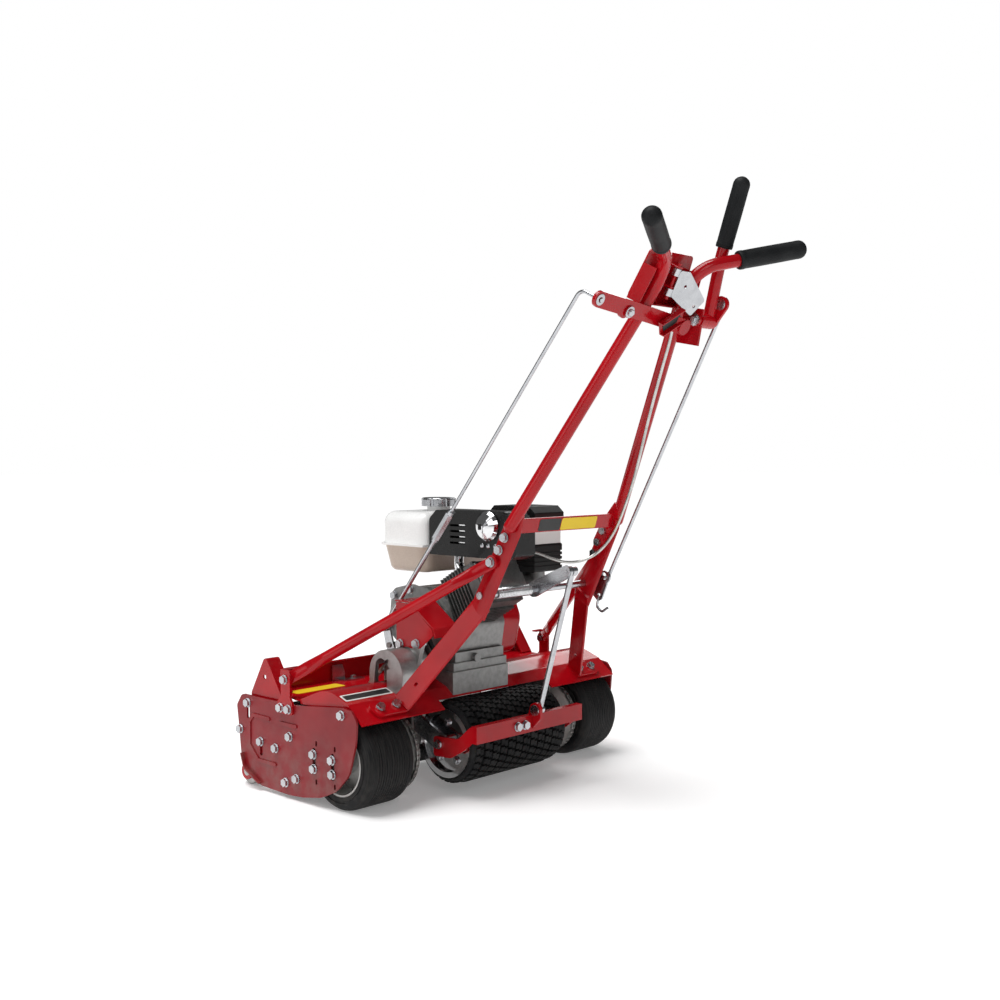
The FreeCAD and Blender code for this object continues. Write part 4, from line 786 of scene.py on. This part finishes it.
def deck_latch():
    """Zinc latch on the back of the front guard: an upright plate, a foot and its bolt."""
    bm = bmesh.new()
    upright = ((-184, 178.6), (-184, 208), (-160, 208), (-154, 192), (-154, 178.6))
    foot = ((-166, 245), (-166, 226), (-120, 226), (-120, 240), (-134, 245))
    add_prism(bm, [P(x, 246, z) for x, z in upright], Vector((0, -0.002, 0)))
    add_prism(bm, [P(x, y, 178.2) for x, y in foot], Vector((0, 0, 0.002)))
    hex_bolt(bm, P(-140, 235.5, 180.2), (0, 0, 1), SMALL_HEAD, SMALL_WASHER)
    piece("deck_latch", bm, ZINC, "chassis", smooth=30)


deck_latch()


# ---------------------------------------------------------------- floor, lights, camera
FLOOR_GLOW = 0.20


def floor():
    """Pale floor at the lowest point of the object, a little brighter than the light alone makes it."""
    s = Shader("studio_floor")
    tone = s.mix(s.ramp(s.noise(3, 3), 0.3, 0.7), (0.93, 0.93, 0.93), (0.92, 0.92, 0.92))
    material = s.finish(tone, s.ramp(s.noise(40, 3), 0.3, 0.7, 0.9, 1.0), specular_ior_level=0.0)
    s.bsdf.inputs["Emission Color"].default_value = (1, 1, 1, 1)
    s.bsdf.inputs["Emission Strength"].default_value = FLOOR_GLOW
    bm = bmesh.new()
    bmesh.ops.create_grid(bm, x_segments=1, y_segments=1, size=30)
    mesh = bpy.data.meshes.new("floor")
    bm.to_mesh(mesh)
    bm.free()
    mesh.materials.append(material)
    item = bpy.data.objects.new("floor", mesh)
    item.location.z = CAD_BOX[0][2]
    bpy.context.scene.collection.objects.link(item)


def area(name, location, target, size, power):
    """Square light that faces its target."""
    light = bpy.data.lights.new(name, "AREA")
    light.size = size
    light.energy = power
    item = bpy.data.objects.new(name, light)
    item.location = location
    item.rotation_euler = (Vector(target) - Vector(location)).to_track_quat("-Z", "Y").to_euler()
    bpy.context.scene.collection.objects.link(item)


def sky_light(strength, spread):
    """One wide overhead light, even over the whole floor."""
    light = bpy.data.lights.new("sky", "SUN")
    light.energy = strength
    light.angle = math.radians(spread)
    item = bpy.data.objects.new("sky", light)
    item.rotation_euler = (math.radians(-10), math.radians(-14), 0)
    bpy.context.scene.collection.objects.link(item)


def studio_world(seen, given):
    """White surround for the camera, and a dimmer even light on the object."""
    world = bpy.data.worlds.new("studio")
    bpy.context.scene.world = world
    world.use_nodes = True
    tree = world.node_tree
    tree.nodes.clear()
    out = tree.nodes.new("ShaderNodeOutputWorld")
    path = tree.nodes.new("ShaderNodeLightPath")
    blend = tree.nodes.new("ShaderNodeMixShader")
    for index, strength in ((1, given), (2, seen)):
        background = tree.nodes.new("ShaderNodeBackground")
        background.inputs[0].default_value = (1, 1, 1, 1)
        background.inputs[1].default_value = strength
        tree.links.new(background.outputs[0], blend.inputs[index])
    tree.links.new(path.outputs["Is Camera Ray"], blend.inputs[0])
    tree.links.new(blend.outputs[0], out.inputs[0])


floor()
sky_light(2.65, 42)
area("left", (-2.8, 0.4, 1.4), (0, 0, 0.4), 1.5, 11)
area("back_left", (-1.6, -2.6, 1.9), (0, 0, 0.4), 1.3, 12)
area("right", (2.6, 1.2, 1.8), (0, 0, 0.4), 1.4, 16)
studio_world(1.0, 0.10)
bpy.context.scene.view_settings.view_transform = "Standard"

TILT_DOWN, HEADING = 2.1977, -46.612      # degrees
camera_data = bpy.data.cameras.new("camera")
camera_data.lens = 44.9
camera_data.sensor_width = 36
camera_data.clip_end = 100
camera = bpy.data.objects.new("camera", camera_data)
camera.location = P(-1662.3, -1587.0, 609.0)
camera.rotation_euler = (math.radians(90 - TILT_DOWN), 0, math.radians(HEADING))
bpy.context.scene.collection.objects.link(camera)
bpy.context.scene.camera = camera
